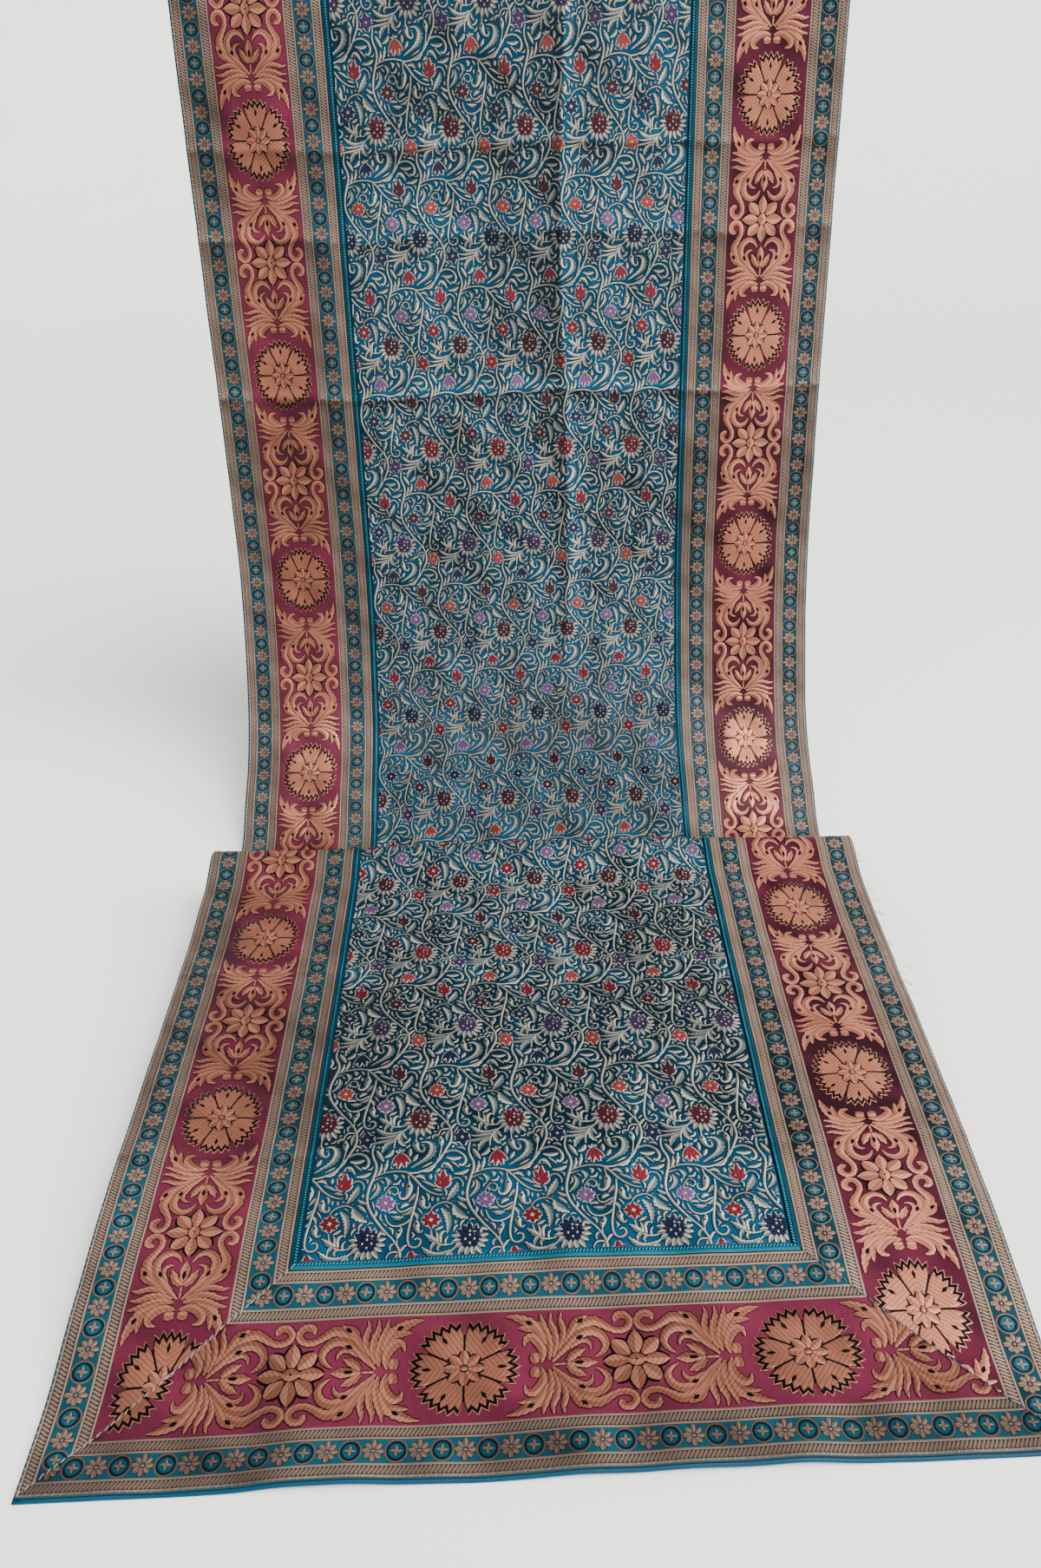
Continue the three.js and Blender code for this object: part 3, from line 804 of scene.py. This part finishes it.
def set_in_loom(mesh):
    """Moves the even repeats to where the rows really fall on the woven length, in metres."""
    flat = np.empty(len(mesh.vertices) * 3)
    mesh.vertices.foreach_get("co", flat)
    flat = flat.reshape(-1, 3)
    heights = (np.arange(len(row_places)) + first_row) * row_repeat
    flat[:, 0] += np.interp(flat[:, 1], heights, row_drift)
    flat[:, 1] = np.interp(flat[:, 1], heights, row_places)
    mesh.vertices.foreach_set("co", (flat / 1000).ravel())


floats = Finish("brocading_silk", Specular_IOR_Level=0.08)
dye_of_thread = floats.node("ShaderNodeAttribute", {"attribute_name": "dye"}, {})
flat_place = floats.node("ShaderNodeUVMap", {"uv_map": "flat"}, {})
across = floats.node("ShaderNodeSeparateXYZ", {}, {"Vector": flat_place})
along = floats.node("ShaderNodeSeparateXYZ", {}, {"Vector": flat_place}, 1)
weft = abs((along + across * 0.25) * 1600.0 % 1.0 - 0.5) * 2.0
worn = floats.noise(flat_place, 260.0, 3.0)
# The floats' dye is scaled by the painted sheen and shade and by a fine painted glint.
catch = floats.node("ShaderNodeAttribute", {"attribute_name": "catch"}, {}, 2)
painted_glint = floats.noise(flat_place, 900.0, 2.0) * 1.3 + 0.38
painted_sheen_and_tone = (0.6 + catch * 0.8) * painted_glint
dye_with_painted_sheen = floats.node("ShaderNodeVectorMath", {"operation": "SCALE"}, {0: dye_of_thread, "Scale": painted_sheen_and_tone})
darker = floats.mix(weft * 0.45, dye_with_painted_sheen, linear(6, 22, 30))
floats.feed("Base Color", floats.mix(worn * 0.2, darker, linear(36, 58, 66)))
floats.feed("Roughness", 0.30 + worn * 0.25)
floats.shader.inputs["Metallic"].default_value = 0.4
floats.relief(weft + worn * 0.5, 0.00018)

repeat_form = draw_repeat()
every = repeat_form.verts[:] + repeat_form.edges[:] + repeat_form.faces[:]
print("repeat faces", len(repeat_form.faces))
second = [part for part in bmesh.ops.duplicate(repeat_form, geom=every)["geom"] if isinstance(part, bmesh.types.BMVert)]
bmesh.ops.translate(repeat_form, verts=second, vec=(across_repeat / 2, row_repeat, 0))
bmesh.ops.translate(repeat_form, verts=repeat_form.verts, vec=(-37.5 - 2 * across_repeat, 0, 0))
vines_form = in_row(in_row(repeat_form, (across_repeat, 0), 6), (0, 2 * row_repeat), 9)
vines_mesh = bpy.data.meshes.new("vines")
vines_form.to_mesh(vines_mesh)
vines_form.free()
dye_flowers(vines_mesh)
set_in_loom(vines_mesh)

vine_edge, vine_cuts = half_panel - 0.0004, (panel_low + 0.0004, 0.360, 0.620, 0.880, panel_high - 0.0004)
# Painted sheen on the vines near the hem, painted shade higher up the cloth.
vine_painted_sheen_and_shade = ((0.08, 0.38, 0.41, 0.6, 1.2), (0.32, 0.28, 0.0, -0.1, -0.22))
for number, (low, high) in enumerate(zip(vine_cuts, vine_cuts[1:]), 1):
    form = bmesh.new()
    form.from_mesh(vines_mesh)
    far = [v for v in form.verts if not (low - 0.02 < v.co.y < high + 0.02) or abs(v.co.x) > vine_edge + 0.02]
    bmesh.ops.delete(form, geom=far, context="VERTS")
    for place, away in (((vine_edge, 0), (1, 0)), ((-vine_edge, 0), (-1, 0)), ((0, low), (0, -1)), ((0, high), (0, 1))):
        cut_off(form, place, away)
    lay_down(f"vines_{number}", form, [floats], towards=vine_painted_sheen_and_shade)

# The border strips
# Four lengths of woven ribbon, mitred at the corners: a magenta middle under copper thread, between two
# teal guards and four hatched rope lines. A turquoise selvedge edges the panel. Strips run round the cloth.
band_middle = 44.8
edge_of_cloth = facing_inset * 1000
rope_places = [(1.2, 6.9), (16.9, 23.0), (66.7, 72.7), (83.3, 89.0)]
guard_places = [(6.9, 16.9), (72.7, 83.3)]
selvedge_place = (89.4, 92.3)


def up_the_left(flat, t, d):
    return d - width / 2, length - t


def up_the_right(flat, t, d):
    return width / 2 - d, t


def along_the_hem(flat, t, d):
    return t - width / 2, d


def along_the_top(flat, t, d):
    return width / 2 - t, length - d


side_stations = along_rows(0.0, length, 0.0040)
end_stations = np.linspace(0.0, width, 97)
strips = {
    "left": (up_the_left, length, (length - side_stations)[::-1], length * 1000 - 43.0),
    "right": (up_the_right, length, side_stations, 60.6),
    "front": (along_the_hem, width, end_stations, 165.6),
    "top": (along_the_top, width, end_stations, 130.0),
}


def mitred(form, run, scale=1.0, gap=0.00015):
    """Cuts a strip's two ends at the corner seams."""
    cut_off(form, (gap * scale, 0), (-1, 1))
    cut_off(form, ((run - gap) * scale, 0), (1, 1))
    return form


border_silk = Finish("border_silk", Specular_IOR_Level=0.1)
flat_place = border_silk.node("ShaderNodeUVMap", {"uv_map": "flat"}, {})
along = border_silk.node("ShaderNodeSeparateXYZ", {}, {"Vector": flat_place})
across = border_silk.node("ShaderNodeSeparateXYZ", {}, {"Vector": flat_place}, 1) * 1000.0
in_middle = (across > rope_places[1][1]) * (across < rope_places[2][0])
in_guards = (across > guard_places[0][0]) * (across < guard_places[0][1]) + (
    across > guard_places[1][0]) * (across < guard_places[1][1])
in_selvedge = across > selvedge_place[0]
tone = border_silk.noise(flat_place, 45.0, 3.0)
threads = border_silk.noise(border_silk.stretched(flat_place, (1.0, 0.12, 1.0)), 1300.0, 2.0)
dark_rope = linear(34, 30, 31)
catch = border_silk.node("ShaderNodeAttribute", {"attribute_name": "catch"}, {}, 2)
# The magenta and teal grounds are painted lighter or darker by the painted sheen and shade, with random tone.
magenta = border_silk.mix(catch + (tone - 0.5) * 0.4, linear(34, 8, 17), linear(104, 34, 57))
guard_teal = border_silk.mix(catch + (tone - 0.5) * 0.4, linear(6, 20, 26), linear(16, 66, 80))
magenta = border_silk.mix(threads * 0.5, magenta, linear(36, 6, 18))
shade = border_silk.mix(in_guards, dark_rope, guard_teal)
shade = border_silk.mix(in_selvedge, shade, linear(1, 30, 44))
shade = border_silk.mix(across < 1.9, shade, linear(30, 54, 60))
border_silk.feed("Base Color", border_silk.mix(in_middle, shade, magenta))
border_silk.feed("Roughness", 0.36 + threads * 0.2)
border_silk.relief(threads, 0.00014)

# Painted sheen and shade, strip by strip: the right strip's satin is painted darker and its metal thread brighter, as
# if the satin lay away from the light and the thread towards it; the other strips get their own painted offsets.
ground_painted_sheen_and_shade = {
    "left": ((0.0,), (0.04,)), "right": ((0.0, 0.4, 0.5), (-0.2, -0.15, -0.2)),
    "front": ((0.0, 0.02, 0.04), (-0.1, -0.05, 0.12)), "top": ((0.0,), (0.0,)),
}
thread_painted_sheen_and_shade = {
    "left": ((0.0, 0.4, 0.5), (0.16, 0.08, -0.08)), "right": ((0.0, 0.3, 0.5, 0.8, 1.2), (1.2, 1.0, 0.34, 0.34, 0.62)),
    "front": ((0.0, 0.02, 0.03, 0.068, 0.075), (-0.42, -0.4, -0.22, -0.18, 0.1)), "top": ((0.0,), (-0.1,)),
}
border_rows = np.linspace(facing_inset, border_width, 31)
for name, (place, run, stations, start) in strips.items():
    form = flat_slab(stations, border_rows, 0.0, -brocade_thickness, [
        ((0.00015, 0), (-1, 1)), ((run - 0.00015, 0), (1, 1)),
    ])
    lay_down(
        f"border_ribbon_{name}", form, [border_silk], place, towards=ground_painted_sheen_and_shade[name],
    )
    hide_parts(f"border_{name}")

# The copper work of the border
# Copper-wrapped thread floated over the magenta: large toothed medallions and eight-petalled stars turn
# about, with a mirrored spray of scrolling leaves from each towards the other. Black thread outlines them.
# The dark magenta rim round each copper leaf is a painted shadow on the ground beside the raised thread.
black_dye, painted_shadow_rim_dye = linear(8, 6, 9), linear(44, 8, 22)
copper_dye, pale_copper_dye = linear(124, 76, 60), linear(154, 102, 83)
copper_dyes = (painted_shadow_rim_dye, copper_dye, pale_copper_dye)
outlined_copper = (black_dye, copper_dye, pale_copper_dye)
medallion_dye = linear(138, 87, 69)
half_repeat = 69.35
star_wide = 12.0

copper = Finish("copper_thread", Metallic=0.5, Specular_IOR_Level=0.1)
dye_of_thread = copper.node("ShaderNodeAttribute", {"attribute_name": "dye"}, {})
flat_place = copper.node("ShaderNodeUVMap", {"uv_map": "flat"}, {})
along = copper.node("ShaderNodeSeparateXYZ", {}, {"Vector": flat_place}) * 1000.0
across = copper.node("ShaderNodeSeparateXYZ", {}, {"Vector": flat_place}, 1) * 1000.0
from_middle = abs(across - band_middle)
rib = abs((along + from_middle * 0.8) / 2.2 % 1.0 - 0.5) * 2.0
tie = (rib > 0.76)
floats_of_copper = abs((across + along * 0.3) * 1.9 % 1.0 - 0.5) * 2.0
worn = copper.noise(flat_place, 220.0, 3.0)
catch = copper.node("ShaderNodeAttribute", {"attribute_name": "catch"}, {}, 2)
# The copper dye is scaled by the painted sheen and shade, by wear and by the darker ties.
painted_sheen_and_tone = (0.6 + catch * 0.8) * (1.12 - worn * 0.4) * (1.0 - tie * 0.36)
copper.feed("Base Color", copper.node("ShaderNodeVectorMath", {"operation": "SCALE"}, {0: dye_of_thread, "Scale": painted_sheen_and_tone}))
copper.feed("Roughness", 0.34 + worn * 0.22)
copper.relief(tie * -0.8 + floats_of_copper * 0.15, 0.00012)


def mirrored(form, geom, across_axis):
    """Adds the other half of what is drawn, turned over in the flat, with its faces still upwards."""
    copy = bmesh.ops.duplicate(form, geom=geom)["geom"]
    verts = [part for part in copy if isinstance(part, bmesh.types.BMVert)]
    faces = [part for part in copy if isinstance(part, bmesh.types.BMFace)]
    flip = (-1, 1, 1) if across_axis else (1, -1, 1)
    bmesh.ops.scale(form, verts=verts, vec=flip)
    bmesh.ops.reverse_faces(form, faces=faces)


def everything(form):
    return form.verts[:] + form.edges[:] + form.faces[:]


# One side of the spray: x runs from the medallion to the star, y out from the middle of the band
spray = [
    ([(31, 0.9), (31.8, 4.5), (30.6, 8.5), (27.4, 11.2), (24.9, 10.4), (24.4, 7.8)], [1, 3.2, 4.4, 4.4, 3, 0.8], 0),
    ([(28.6, 0.8), (28.4, 2.8), (28.2, 4.8)], [2.6, 4.8, 3], 0),
    ([(33, 8), (31.2, 12), (28.4, 15.5), (24.4, 18), (20.6, 19.4), (16.8, 20)], [1.5, 3.8, 5.4, 4.6, 3, 0.5], 0.15),
    ([(28.5, 14.5), (25, 14.9), (21.6, 15)], [3, 3, 0.5], 0.15),
    ([(34.2, 2), (34.8, 7), (33.8, 12), (32, 16.5), (31.2, 20.6)], [1.4, 2.8, 3.2, 3, 0.8], 0.12),
    ([(35.6, 3), (37.2, 8), (36.8, 13), (35.2, 17), (35.4, 20.9)], [1.2, 2.7, 3, 2.6, 0.7], 0.12),
    ([(38, 6), (39.9, 10), (40.3, 14), (39.2, 18), (39.8, 20.9)], [1, 2.3, 2.8, 2.4, 0.6], 0.12),
    ([(35.4, 1), (39.3, 5), (43.2, 9), (47.5, 12), (52, 12.8), (55.8, 11), (57.6, 7.5), (56.2, 4.3), (53, 2.2)],
     [1.2, 2.7, 4, 4.7, 4.4, 4, 3.6, 2.5, 0.7], 0.05),
    ([(43, 6.6), (46.5, 8.8), (49.5, 9), (51.2, 7.3), (51.4, 5.2)], [1.4, 2.3, 2.2, 1.9, 0.5], 0),
    ([(40.2, 8), (43.2, 12.5), (46, 16.5), (50.2, 19.2)], [1.2, 3, 4.6, 1], 0.1),
    ([(45.5, 13.6), (49.5, 16.3), (53.5, 17), (57.5, 14.9), (61.5, 12.9), (65.5, 13.1), (67.9, 15.5),
      (66.9, 18.3), (64, 19.3), (61.9, 18), (62.4, 16.6)], [1.5, 3.6, 4.6, 4, 3.1, 2.9, 2.9, 3, 3.2, 3.5, 2.6], 0.08),
    ([(41.6, 0.9), (43.6, 2.9), (46, 4.3), (48.8, 5.5)], [2, 3.5, 3.4, 0.7], 0.1),
]
tears = [((46.8, 10.2), 0.35), ((47.4, 16.9), 0.6), ((26.4, 16.9), -0.5)]


def fan(form, start, stop, teeth, inner, outer, dip):
    """One petal of a medallion: a flat ring sector with toothed end, a black line and a pale rim."""
    columns, rows = teeth * 4, 7
    verts = bmesh.ops.create_grid(form, x_segments=columns, y_segments=rows, size=1)["verts"]
    bands = [medallion_dye] * 5 + [black_dye, pale_copper_dye]
    dye = form.faces.layers.float_color["dye"]
    for face in {face for vert in verts for face in vert.link_faces}:
        face[dye] = bands[min(rows - 1, int((face.calc_center_median().y + 1) / 2 * rows))]
    for vert in verts:
        share, row = (vert.co.x + 1) / 2, round((vert.co.y + 1) / 2 * rows)
        from_side = abs(2 * share - 1)
        tooth = abs((share * teeth) % 1.0 - 0.5) * 2
        end = outer * (1 - dip * from_side**12) - 2.5 * tooth
        reach = [inner, *np.linspace(inner, end - 2.7, 5)[1:], end - 2.5, end - 0.55, end][row]
        angle = math.radians(start + (stop - start) * share)
        rise = [0.16, 0.3, 0.38, 0.4, 0.38, 0.3, 0.3, 0.12][row] * (1 - 0.5 * from_side**6)
        vert.co = (reach * math.cos(angle), reach * math.sin(angle), 0.12 + rise)
    bmesh.ops.reverse_faces(form, faces=[face for face in {f for v in verts for f in v.link_faces}])
    return verts


def draw_medallion(form):
    outer, stretch = 19.8, 1.16
    drawn = []
    for start, stop, teeth, dip in ((-27, 27, 5, 0.24), (27, 90, 6, 0.34), (90, 153, 6, 0.34),
                                    (153, 207, 5, 0.24), (207, 270, 6, 0.34), (270, 333, 6, 0.34)):
        drawn += fan(form, start, stop, teeth, 5.5, outer, dip)
    for angle, reach in ((27, 13.4), (90, 12.4), (153, 13.4), (207, 13.4), (270, 12.4), (333, 13.4)):
        line = stroke(form, [(6.0, 0), (reach + 1, 0)], [0.7, 0.85, 0.85], (black_dye,) * 3, rim=0, rise=0.2, ground=0.38)
        shifted(line, form, (0, 0), math.radians(angle))
        drawn += line
    for angle in (0, 58, 122, 180, 238, 302):
        tear = stroke(form, [(11.4, 0), (13, 0), (14.8, 0)], [0.4, 1.8, 0.4], (black_dye,) * 3, rim=0, step=0.9,
                      rise=0.15, ground=0.5)
        shifted(tear, form, (0, 0), math.radians(angle))
        drawn += tear
    for k in range(8):
        petal = stroke(form, [(1.5, 0), (7.0, 0)], [0.9, 2.8, 3.4, 3.0, 1.4], outlined_copper, rim=0.75, step=1.0,
                       rise=0.4, ground=0.34)
        shifted(petal, form, (0, 0), math.radians(45 * k))
        drawn += petal
    heart = stroke(form, [(-1.2, 0), (1.2, 0)], [1, 2.2, 1], outlined_copper, rim=0.4, step=0.8, ground=0.42)
    drawn += heart
    bmesh.ops.scale(form, verts=drawn, vec=(stretch, 1, 1))


def draw_star(form, where):
    drawn = []
    for angle, first, last, widths in (
        (0, 3.4, 13.4, [1.8, 4.2, 5.4, 4.4, 0.5]), (90, 2.8, 12.4, [2.2, 5.0, 6.2, 4.8, 0.5]),
        (42, 3.6, 12.4, [1.6, 4.4, 6.0, 5.4, 1.8]), (138, 3.6, 12.4, [1.6, 4.4, 6.0, 5.4, 1.8]),
    ):
        for turn in (angle, angle + 180):
            petal = stroke(form, [(first, 0), (last, 0)], widths, outlined_copper, rim=1.1, rise=0.42, ground=0.14)
            shifted(petal, form, (0, 0), math.radians(turn))
            drawn += petal
    drawn += stroke(form, [(-3.4, 0), (3.4, 0)], [1.4, 4.6, 5, 4.6, 1.4], outlined_copper, rim=0.5, step=1.2, ground=0.34)
    drawn += stroke(form, [(-0.5, 0), (0.6, 0)], [0.4, 0.9, 0.4], (black_dye,) * 3, rim=0, step=0.5, ground=0.72, rise=0.1)
    shifted(drawn, form, (where, 0))


def draw_border_repeat():
    """Medallion, spray, star and spray again: one repeat, centred on the medallion."""
    form = woven_form()
    for points, widths, barbs in spray:
        stroke(form, points, [0.93 * wide for wide in widths], copper_dyes, rim=0.45, barbs=barbs, step=1.5, rise=0.42)
    for place, turn in tears:
        tear = stroke(form, [(-1.5, 0), (0.2, 0), (1.7, 0)], [0.4, 1.9, 0.4], (black_dye,) * 3, rim=0, step=0.9,
                      rise=0.15, ground=0.5)
        shifted(tear, form, place, turn)
    mirrored(form, everything(form), False)
    stroke(form, [(36, 0), (41, 0)], [1.1, 1.1], copper_dyes, rim=0.35)
    stroke(form, [(41.5, 0), (45, 0), (48.5, 0), (53.5, 0)], [1, 3.2, 4.6, 0.4], copper_dyes, rim=0.4, step=1.5, rise=0.46)
    stroke(form, [(44.2, 0), (46.4, 0), (48.6, 0)], [0.4, 1.8, 0.4], (black_dye,) * 3, rim=0, step=0.9, rise=0.15, ground=0.5)
    mirrored(form, everything(form), True)
    draw_star(form, half_repeat)
    draw_medallion(form)
    return form


border_repeat = draw_border_repeat()
print("border repeat faces", len(border_repeat.faces))
border_mesh = bpy.data.meshes.new("border_repeat")
border_repeat.to_mesh(border_mesh)
border_repeat.free()


def started(mesh, shift_t, shift_d):
    """A fresh flat form from a drawn repeat, moved along and across its strip."""
    form = bmesh.new()
    form.from_mesh(mesh)
    bmesh.ops.translate(form, verts=form.verts, vec=(shift_t, shift_d, 0))
    return form


def trimmed_to_strip(form, run):
    """Millimetres to metres, then the strip's mitred ends, with what lies beyond them dropped first."""
    bmesh.ops.scale(form, verts=form.verts, vec=(0.001, 0.001, 0.001))
    far = [v for v in form.verts if v.co.x < -0.03 or v.co.x > run + 0.03]
    bmesh.ops.delete(form, geom=far, context="VERTS")
    return mitred(form, run)


for name, (place, run, stations, start) in strips.items():
    repeat = 2 * half_repeat
    first = start - math.ceil(start / repeat) * repeat
    form = in_row(started(border_mesh, first, band_middle), (repeat, 0), math.ceil(run * 1000 / repeat) + 2)
    lay_down(
        f"copper_leaves_{name}", trimmed_to_strip(form, run), [copper], place,
        towards=thread_painted_sheen_and_shade[name],
    )

# The guards and the ropes of the border
# Two narrow teal bands of ringed flowers and eight-petalled rosettes, each between two ropes of slanting
# copper stitches with a fine pale line down either side.
pale_line_dye = linear(116, 99, 87)
rope_dye, rope_shade = linear(130, 109, 95), linear(100, 84, 73)
lobe_dye, pale_lobe_dye, bright_teal = linear(92, 73, 64), linear(120, 96, 83), linear(4, 72, 92)
edge_dye, twist_dye, ring_dye = linear(120, 134, 136), linear(58, 136, 152), linear(6, 22, 31)
ring_repeat = 17.34
stitch_group = 20
# Painted sheen and shade for the guards: the right strip painted brighter, the left darker up the cloth.
guard_painted_sheen_and_shade = dict(thread_painted_sheen_and_shade, left=((0.0, 0.4, 0.5), (0.08, 0.0, -0.2)), right=((0.0, 0.4, 0.5), (0.45, 0.35, -0.05)))
thread = Finish("guard_thread", Metallic=0.3, Specular_IOR_Level=0.1)
dye_of_thread = thread.node("ShaderNodeAttribute", {"attribute_name": "dye"}, {})
flat_place = thread.node("ShaderNodeUVMap", {"uv_map": "flat"}, {})
worn = thread.noise(flat_place, 300.0, 3.0)
spun = thread.noise(thread.stretched(flat_place, (1.0, 0.4, 1.0)), 2400.0, 1.0)
catch = thread.node("ShaderNodeAttribute", {"attribute_name": "catch"}, {}, 2)
# The guard thread's dye is scaled by the painted sheen and shade and by wear.
painted_sheen_and_tone = (0.6 + catch * 0.8) * (1.08 - worn * 0.35)
thread.feed("Base Color", thread.node("ShaderNodeVectorMath", {"operation": "SCALE"}, {0: dye_of_thread, "Scale": painted_sheen_and_tone}))
thread.feed("Roughness", 0.36 + worn * 0.24)
thread.relief(spun, 0.00012)


def draw_guard():
    form = woven_form()
    turns = [math.radians(a) for a in range(0, 361, 24)]
    ring = [(3.25 * math.cos(a), 3.75 * math.sin(a)) for a in turns]
    stroke(form, ring, [1.1] * 3, (ring_dye,) * 3, rim=0, step=1.5, rise=0.2)
    halo = [(1.28 * x, 1.22 * y) for x, y in ring]
    stroke(form, halo, [0.6] * 3, (lobe_dye,) * 3, rim=0, step=1.8, rise=0.2)
    stroke(form, [(-2.9, 0), (0, 0), (2.9, 0)], [2.6, 6.2, 2.6], (bright_teal,) * 3, rim=0, step=1.5, rise=0.1)
    for k in range(4):
        petal = stroke(form, [(0.2, 0), (2.1, 0)], [0.8, 1.5, 0.6], (outline_dye, lobe_dye, pale_lobe_dye), rim=0.25,
                       step=0.9, rise=0.2, ground=0.22)
        shifted(petal, form, (0, 0), math.radians(90 * k))
    for k in range(8):
        petal = stroke(form, [(1.2, 0), (4.0 + 0.5 * (k % 4 == 2), 0)], [0.7, 1.7, 2.2, 1.2],
                       (outline_dye, lobe_dye, pale_lobe_dye), rim=0.3, step=1.0, rise=0.34)
        shifted(petal, form, (ring_repeat / 2, 0), math.radians(45 * k))
    middle = stroke(form, [(-0.6, 0), (0.6, 0)], [0.5, 1.1, 0.5], copper_dyes, rim=0.25, step=0.6)
    shifted(middle, form, (ring_repeat / 2, 0))
    return form


def slanted_stitches(low, high, lean, wide, pitch, run, dyes, ground=0.1):
    """A run of slanting stitches between two lines, all along a strip."""
    form = woven_form()
    for k in range(stitch_group):
        stitch = stroke(form, [(0, low), (lean * 0.55, (low + high) / 2), (lean, high)], [wide * 0.75, wide, wide * 0.75],
                        dyes, rim=0, step=(high - low) * 0.62, rise=0.26, ground=ground)
        bmesh.ops.translate(form, verts=stitch, vec=(k * pitch, 0, 0))
    return in_row(form, (pitch * stitch_group, 0), math.ceil(run * 1000 / pitch / stitch_group))


def pale_line(stations, middle, wide, dyes, rise):
    """A raised line all along a strip, in millimetres."""
    form = woven_form()
    count = len(stations) - 1
    verts = bmesh.ops.create_grid(form, x_segments=count, y_segments=2, size=1)["verts"]
    dye = form.faces.layers.float_color["dye"]
    for face in form.faces:
        face[dye] = dyes[0 if face.calc_center_median().y < 0 else 1]
    for vert in verts:
        row = round(vert.co.y)
        vert.co = (stations[round((vert.co.x + 1) / 2 * count)] * 1000, middle + row * wide / 2, 0.1 + rise * (row == 0))
    return form


def joined(forms):
    """Several flat forms as one."""
    mesh = bpy.data.meshes.new("joined")
    together = bmesh.new()
    for form in forms:
        form.to_mesh(mesh)
        form.free()
        together.from_mesh(mesh)
    bpy.data.meshes.remove(mesh)
    return together


guard_mesh = bpy.data.meshes.new("guard_repeat")
guard_form = draw_guard()
print("guard faces", len(guard_form.faces))
guard_form.to_mesh(guard_mesh)
guard_form.free()
for name, (place, run, stations, start) in strips.items():
    parts = []
    for low, high in guard_places:
        first = (start + 10.0) % ring_repeat - ring_repeat
        parts.append(in_row(started(guard_mesh, first, (low + high) / 2), (ring_repeat, 0), math.ceil(run * 1000 / ring_repeat) + 2))
    for low, high in rope_places:
        parts.append(slanted_stitches(low + 1.3, high - 1.3, 2.0, 1.1, 1.64, run, (black_dye, rope_dye, rope_shade)))
        for middle in (low + 0.55, high - 0.55):
            parts.append(pale_line(stations, middle, 0.9, (pale_line_dye, rope_dye), 0.26))
    parts.append(slanted_stitches(1.02, 2.1, 0.9, 0.42, 3.0, run, (edge_dye,) * 3, 0.3))
    parts.append(slanted_stitches(91.3, 92.4, 0.9, 0.44, 1.5, run, (twist_dye,) * 3, 0.45))
    selvedge_middle = sum(selvedge_place) / 2
    # The same turquoise selvedge is painted lighter on the front strip than on the other three: painted light.
    selvedge_dyes_painted_lighter_on_front = (linear(4, 80, 100), linear(2, 52, 68)) if name == "front" else (linear(2, 50, 68), linear(1, 34, 48))
    parts.append(pale_line(stations, selvedge_middle, selvedge_place[1] - selvedge_place[0] - 0.3, selvedge_dyes_painted_lighter_on_front, 0.6))
    lay_down(
        f"guard_bands_{name}", trimmed_to_strip(joined(parts), run), [thread], place,
        towards=guard_painted_sheen_and_shade[name],
    )

# The stitching and the loose threads
# The corner mitres are whipped shut by hand, with pale thread on the left and blue-grey on the right. A few
# broken threads stand off the long edges, where the ribbon's edge has worn.
def whipped_seam(form, corner_x, corner_s, lean_x, lean_s, dye):
    """Slanting stitches over one mitre, from the cloth's corner inwards."""
    chance = np.random.default_rng(3)
    for reach in np.arange(2.5, border_width * 1000 - 1, 2.1):
        middle = reach + chance.uniform(-0.3, 0.3)
        slant = chance.uniform(0.1, 0.5)
        ends = [(middle + k * (0.2 + slant), middle + k * (1.35 - slant)) for k in (-1, 0, 1)]
        points = [(corner_x + lean_x * a, corner_s + lean_s * b) for a, b in ends]
        stroke(form, points, [0.3, 0.5, 0.3], (dye,) * 3, rim=0, step=1.2, rise=0.24, ground=0.55)


pale_cotton, blue_cotton = linear(150, 150, 146), linear(74, 92, 102)
whip = woven_form()
whipped_seam(whip, -width * 500, 0, 1, 1, pale_cotton)
whipped_seam(whip, width * 500, 0, -1, 1, blue_cotton)
whipped_seam(whip, -width * 500, length * 1000, 1, -1, pale_cotton)
whipped_seam(whip, width * 500, length * 1000, -1, -1, blue_cotton)
bmesh.ops.recalc_face_normals(whip, faces=whip.faces)
bmesh.ops.scale(whip, verts=whip.verts, vec=(0.001, 0.001, 0.001))
corner_stitches = lay_down("corner_stitches", whip, [thread])

cotton = Finish("loose_cotton", Roughness=0.7, Specular_IOR_Level=0.2)
on_thread = cotton.node("ShaderNodeTexCoord", {}, {}, 3)
fuzz = cotton.noise(on_thread, 700.0, 2.0)
cotton.feed("Base Color", cotton.mix(fuzz, linear(96, 112, 118), linear(150, 158, 158)))
cotton.relief(fuzz, 0.00005)
hairs = bpy.data.curves.new("loose_threads", "CURVE")
hairs.dimensions, hairs.bevel_depth, hairs.bevel_resolution, hairs.resolution_u = "3D", 0.00011, 1, 4
hairs.materials.append(cotton.material)
chance = np.random.default_rng(21)
tufts = [(1, 0.262, 0.0098), (1, 0.268, 0.009), (1, 0.290, 0.0085), (1, 0.282, 0.0098), (-1, 0.312, 0.0098)]
tufts += [(1, chance.uniform(0.24, 0.385), chance.uniform(0.003, 0.007)) for _ in range(26)]
for side, s, reach in tufts:
    root = on_lie(np.array([side * (width / 2 - 0.0002)]), np.array([s]), np.array([-0.0006]))[0]
    drift, lift = chance.uniform(-0.5, 0.5), chance.uniform(-0.1, 0.25)
    spline = hairs.splines.new("BEZIER")
    spline.bezier_points.add(3)
    for k, point in enumerate(spline.bezier_points):
        share = k / 3
        bend = reach * 0.16 * math.sin(share * 7 + drift * 6)
        point.co = (
            root[0] + side * reach * share,
            root[1] - reach * drift * share + bend,
            max(0.0003, root[2] + reach * (lift * share - 0.5 * share * share)),
        )
        point.handle_left_type = point.handle_right_type = "AUTO"
loose_threads = bpy.data.objects.new("loose_threads", hairs)
bpy.context.scene.collection.objects.link(loose_threads)
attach(loose_threads, "root")
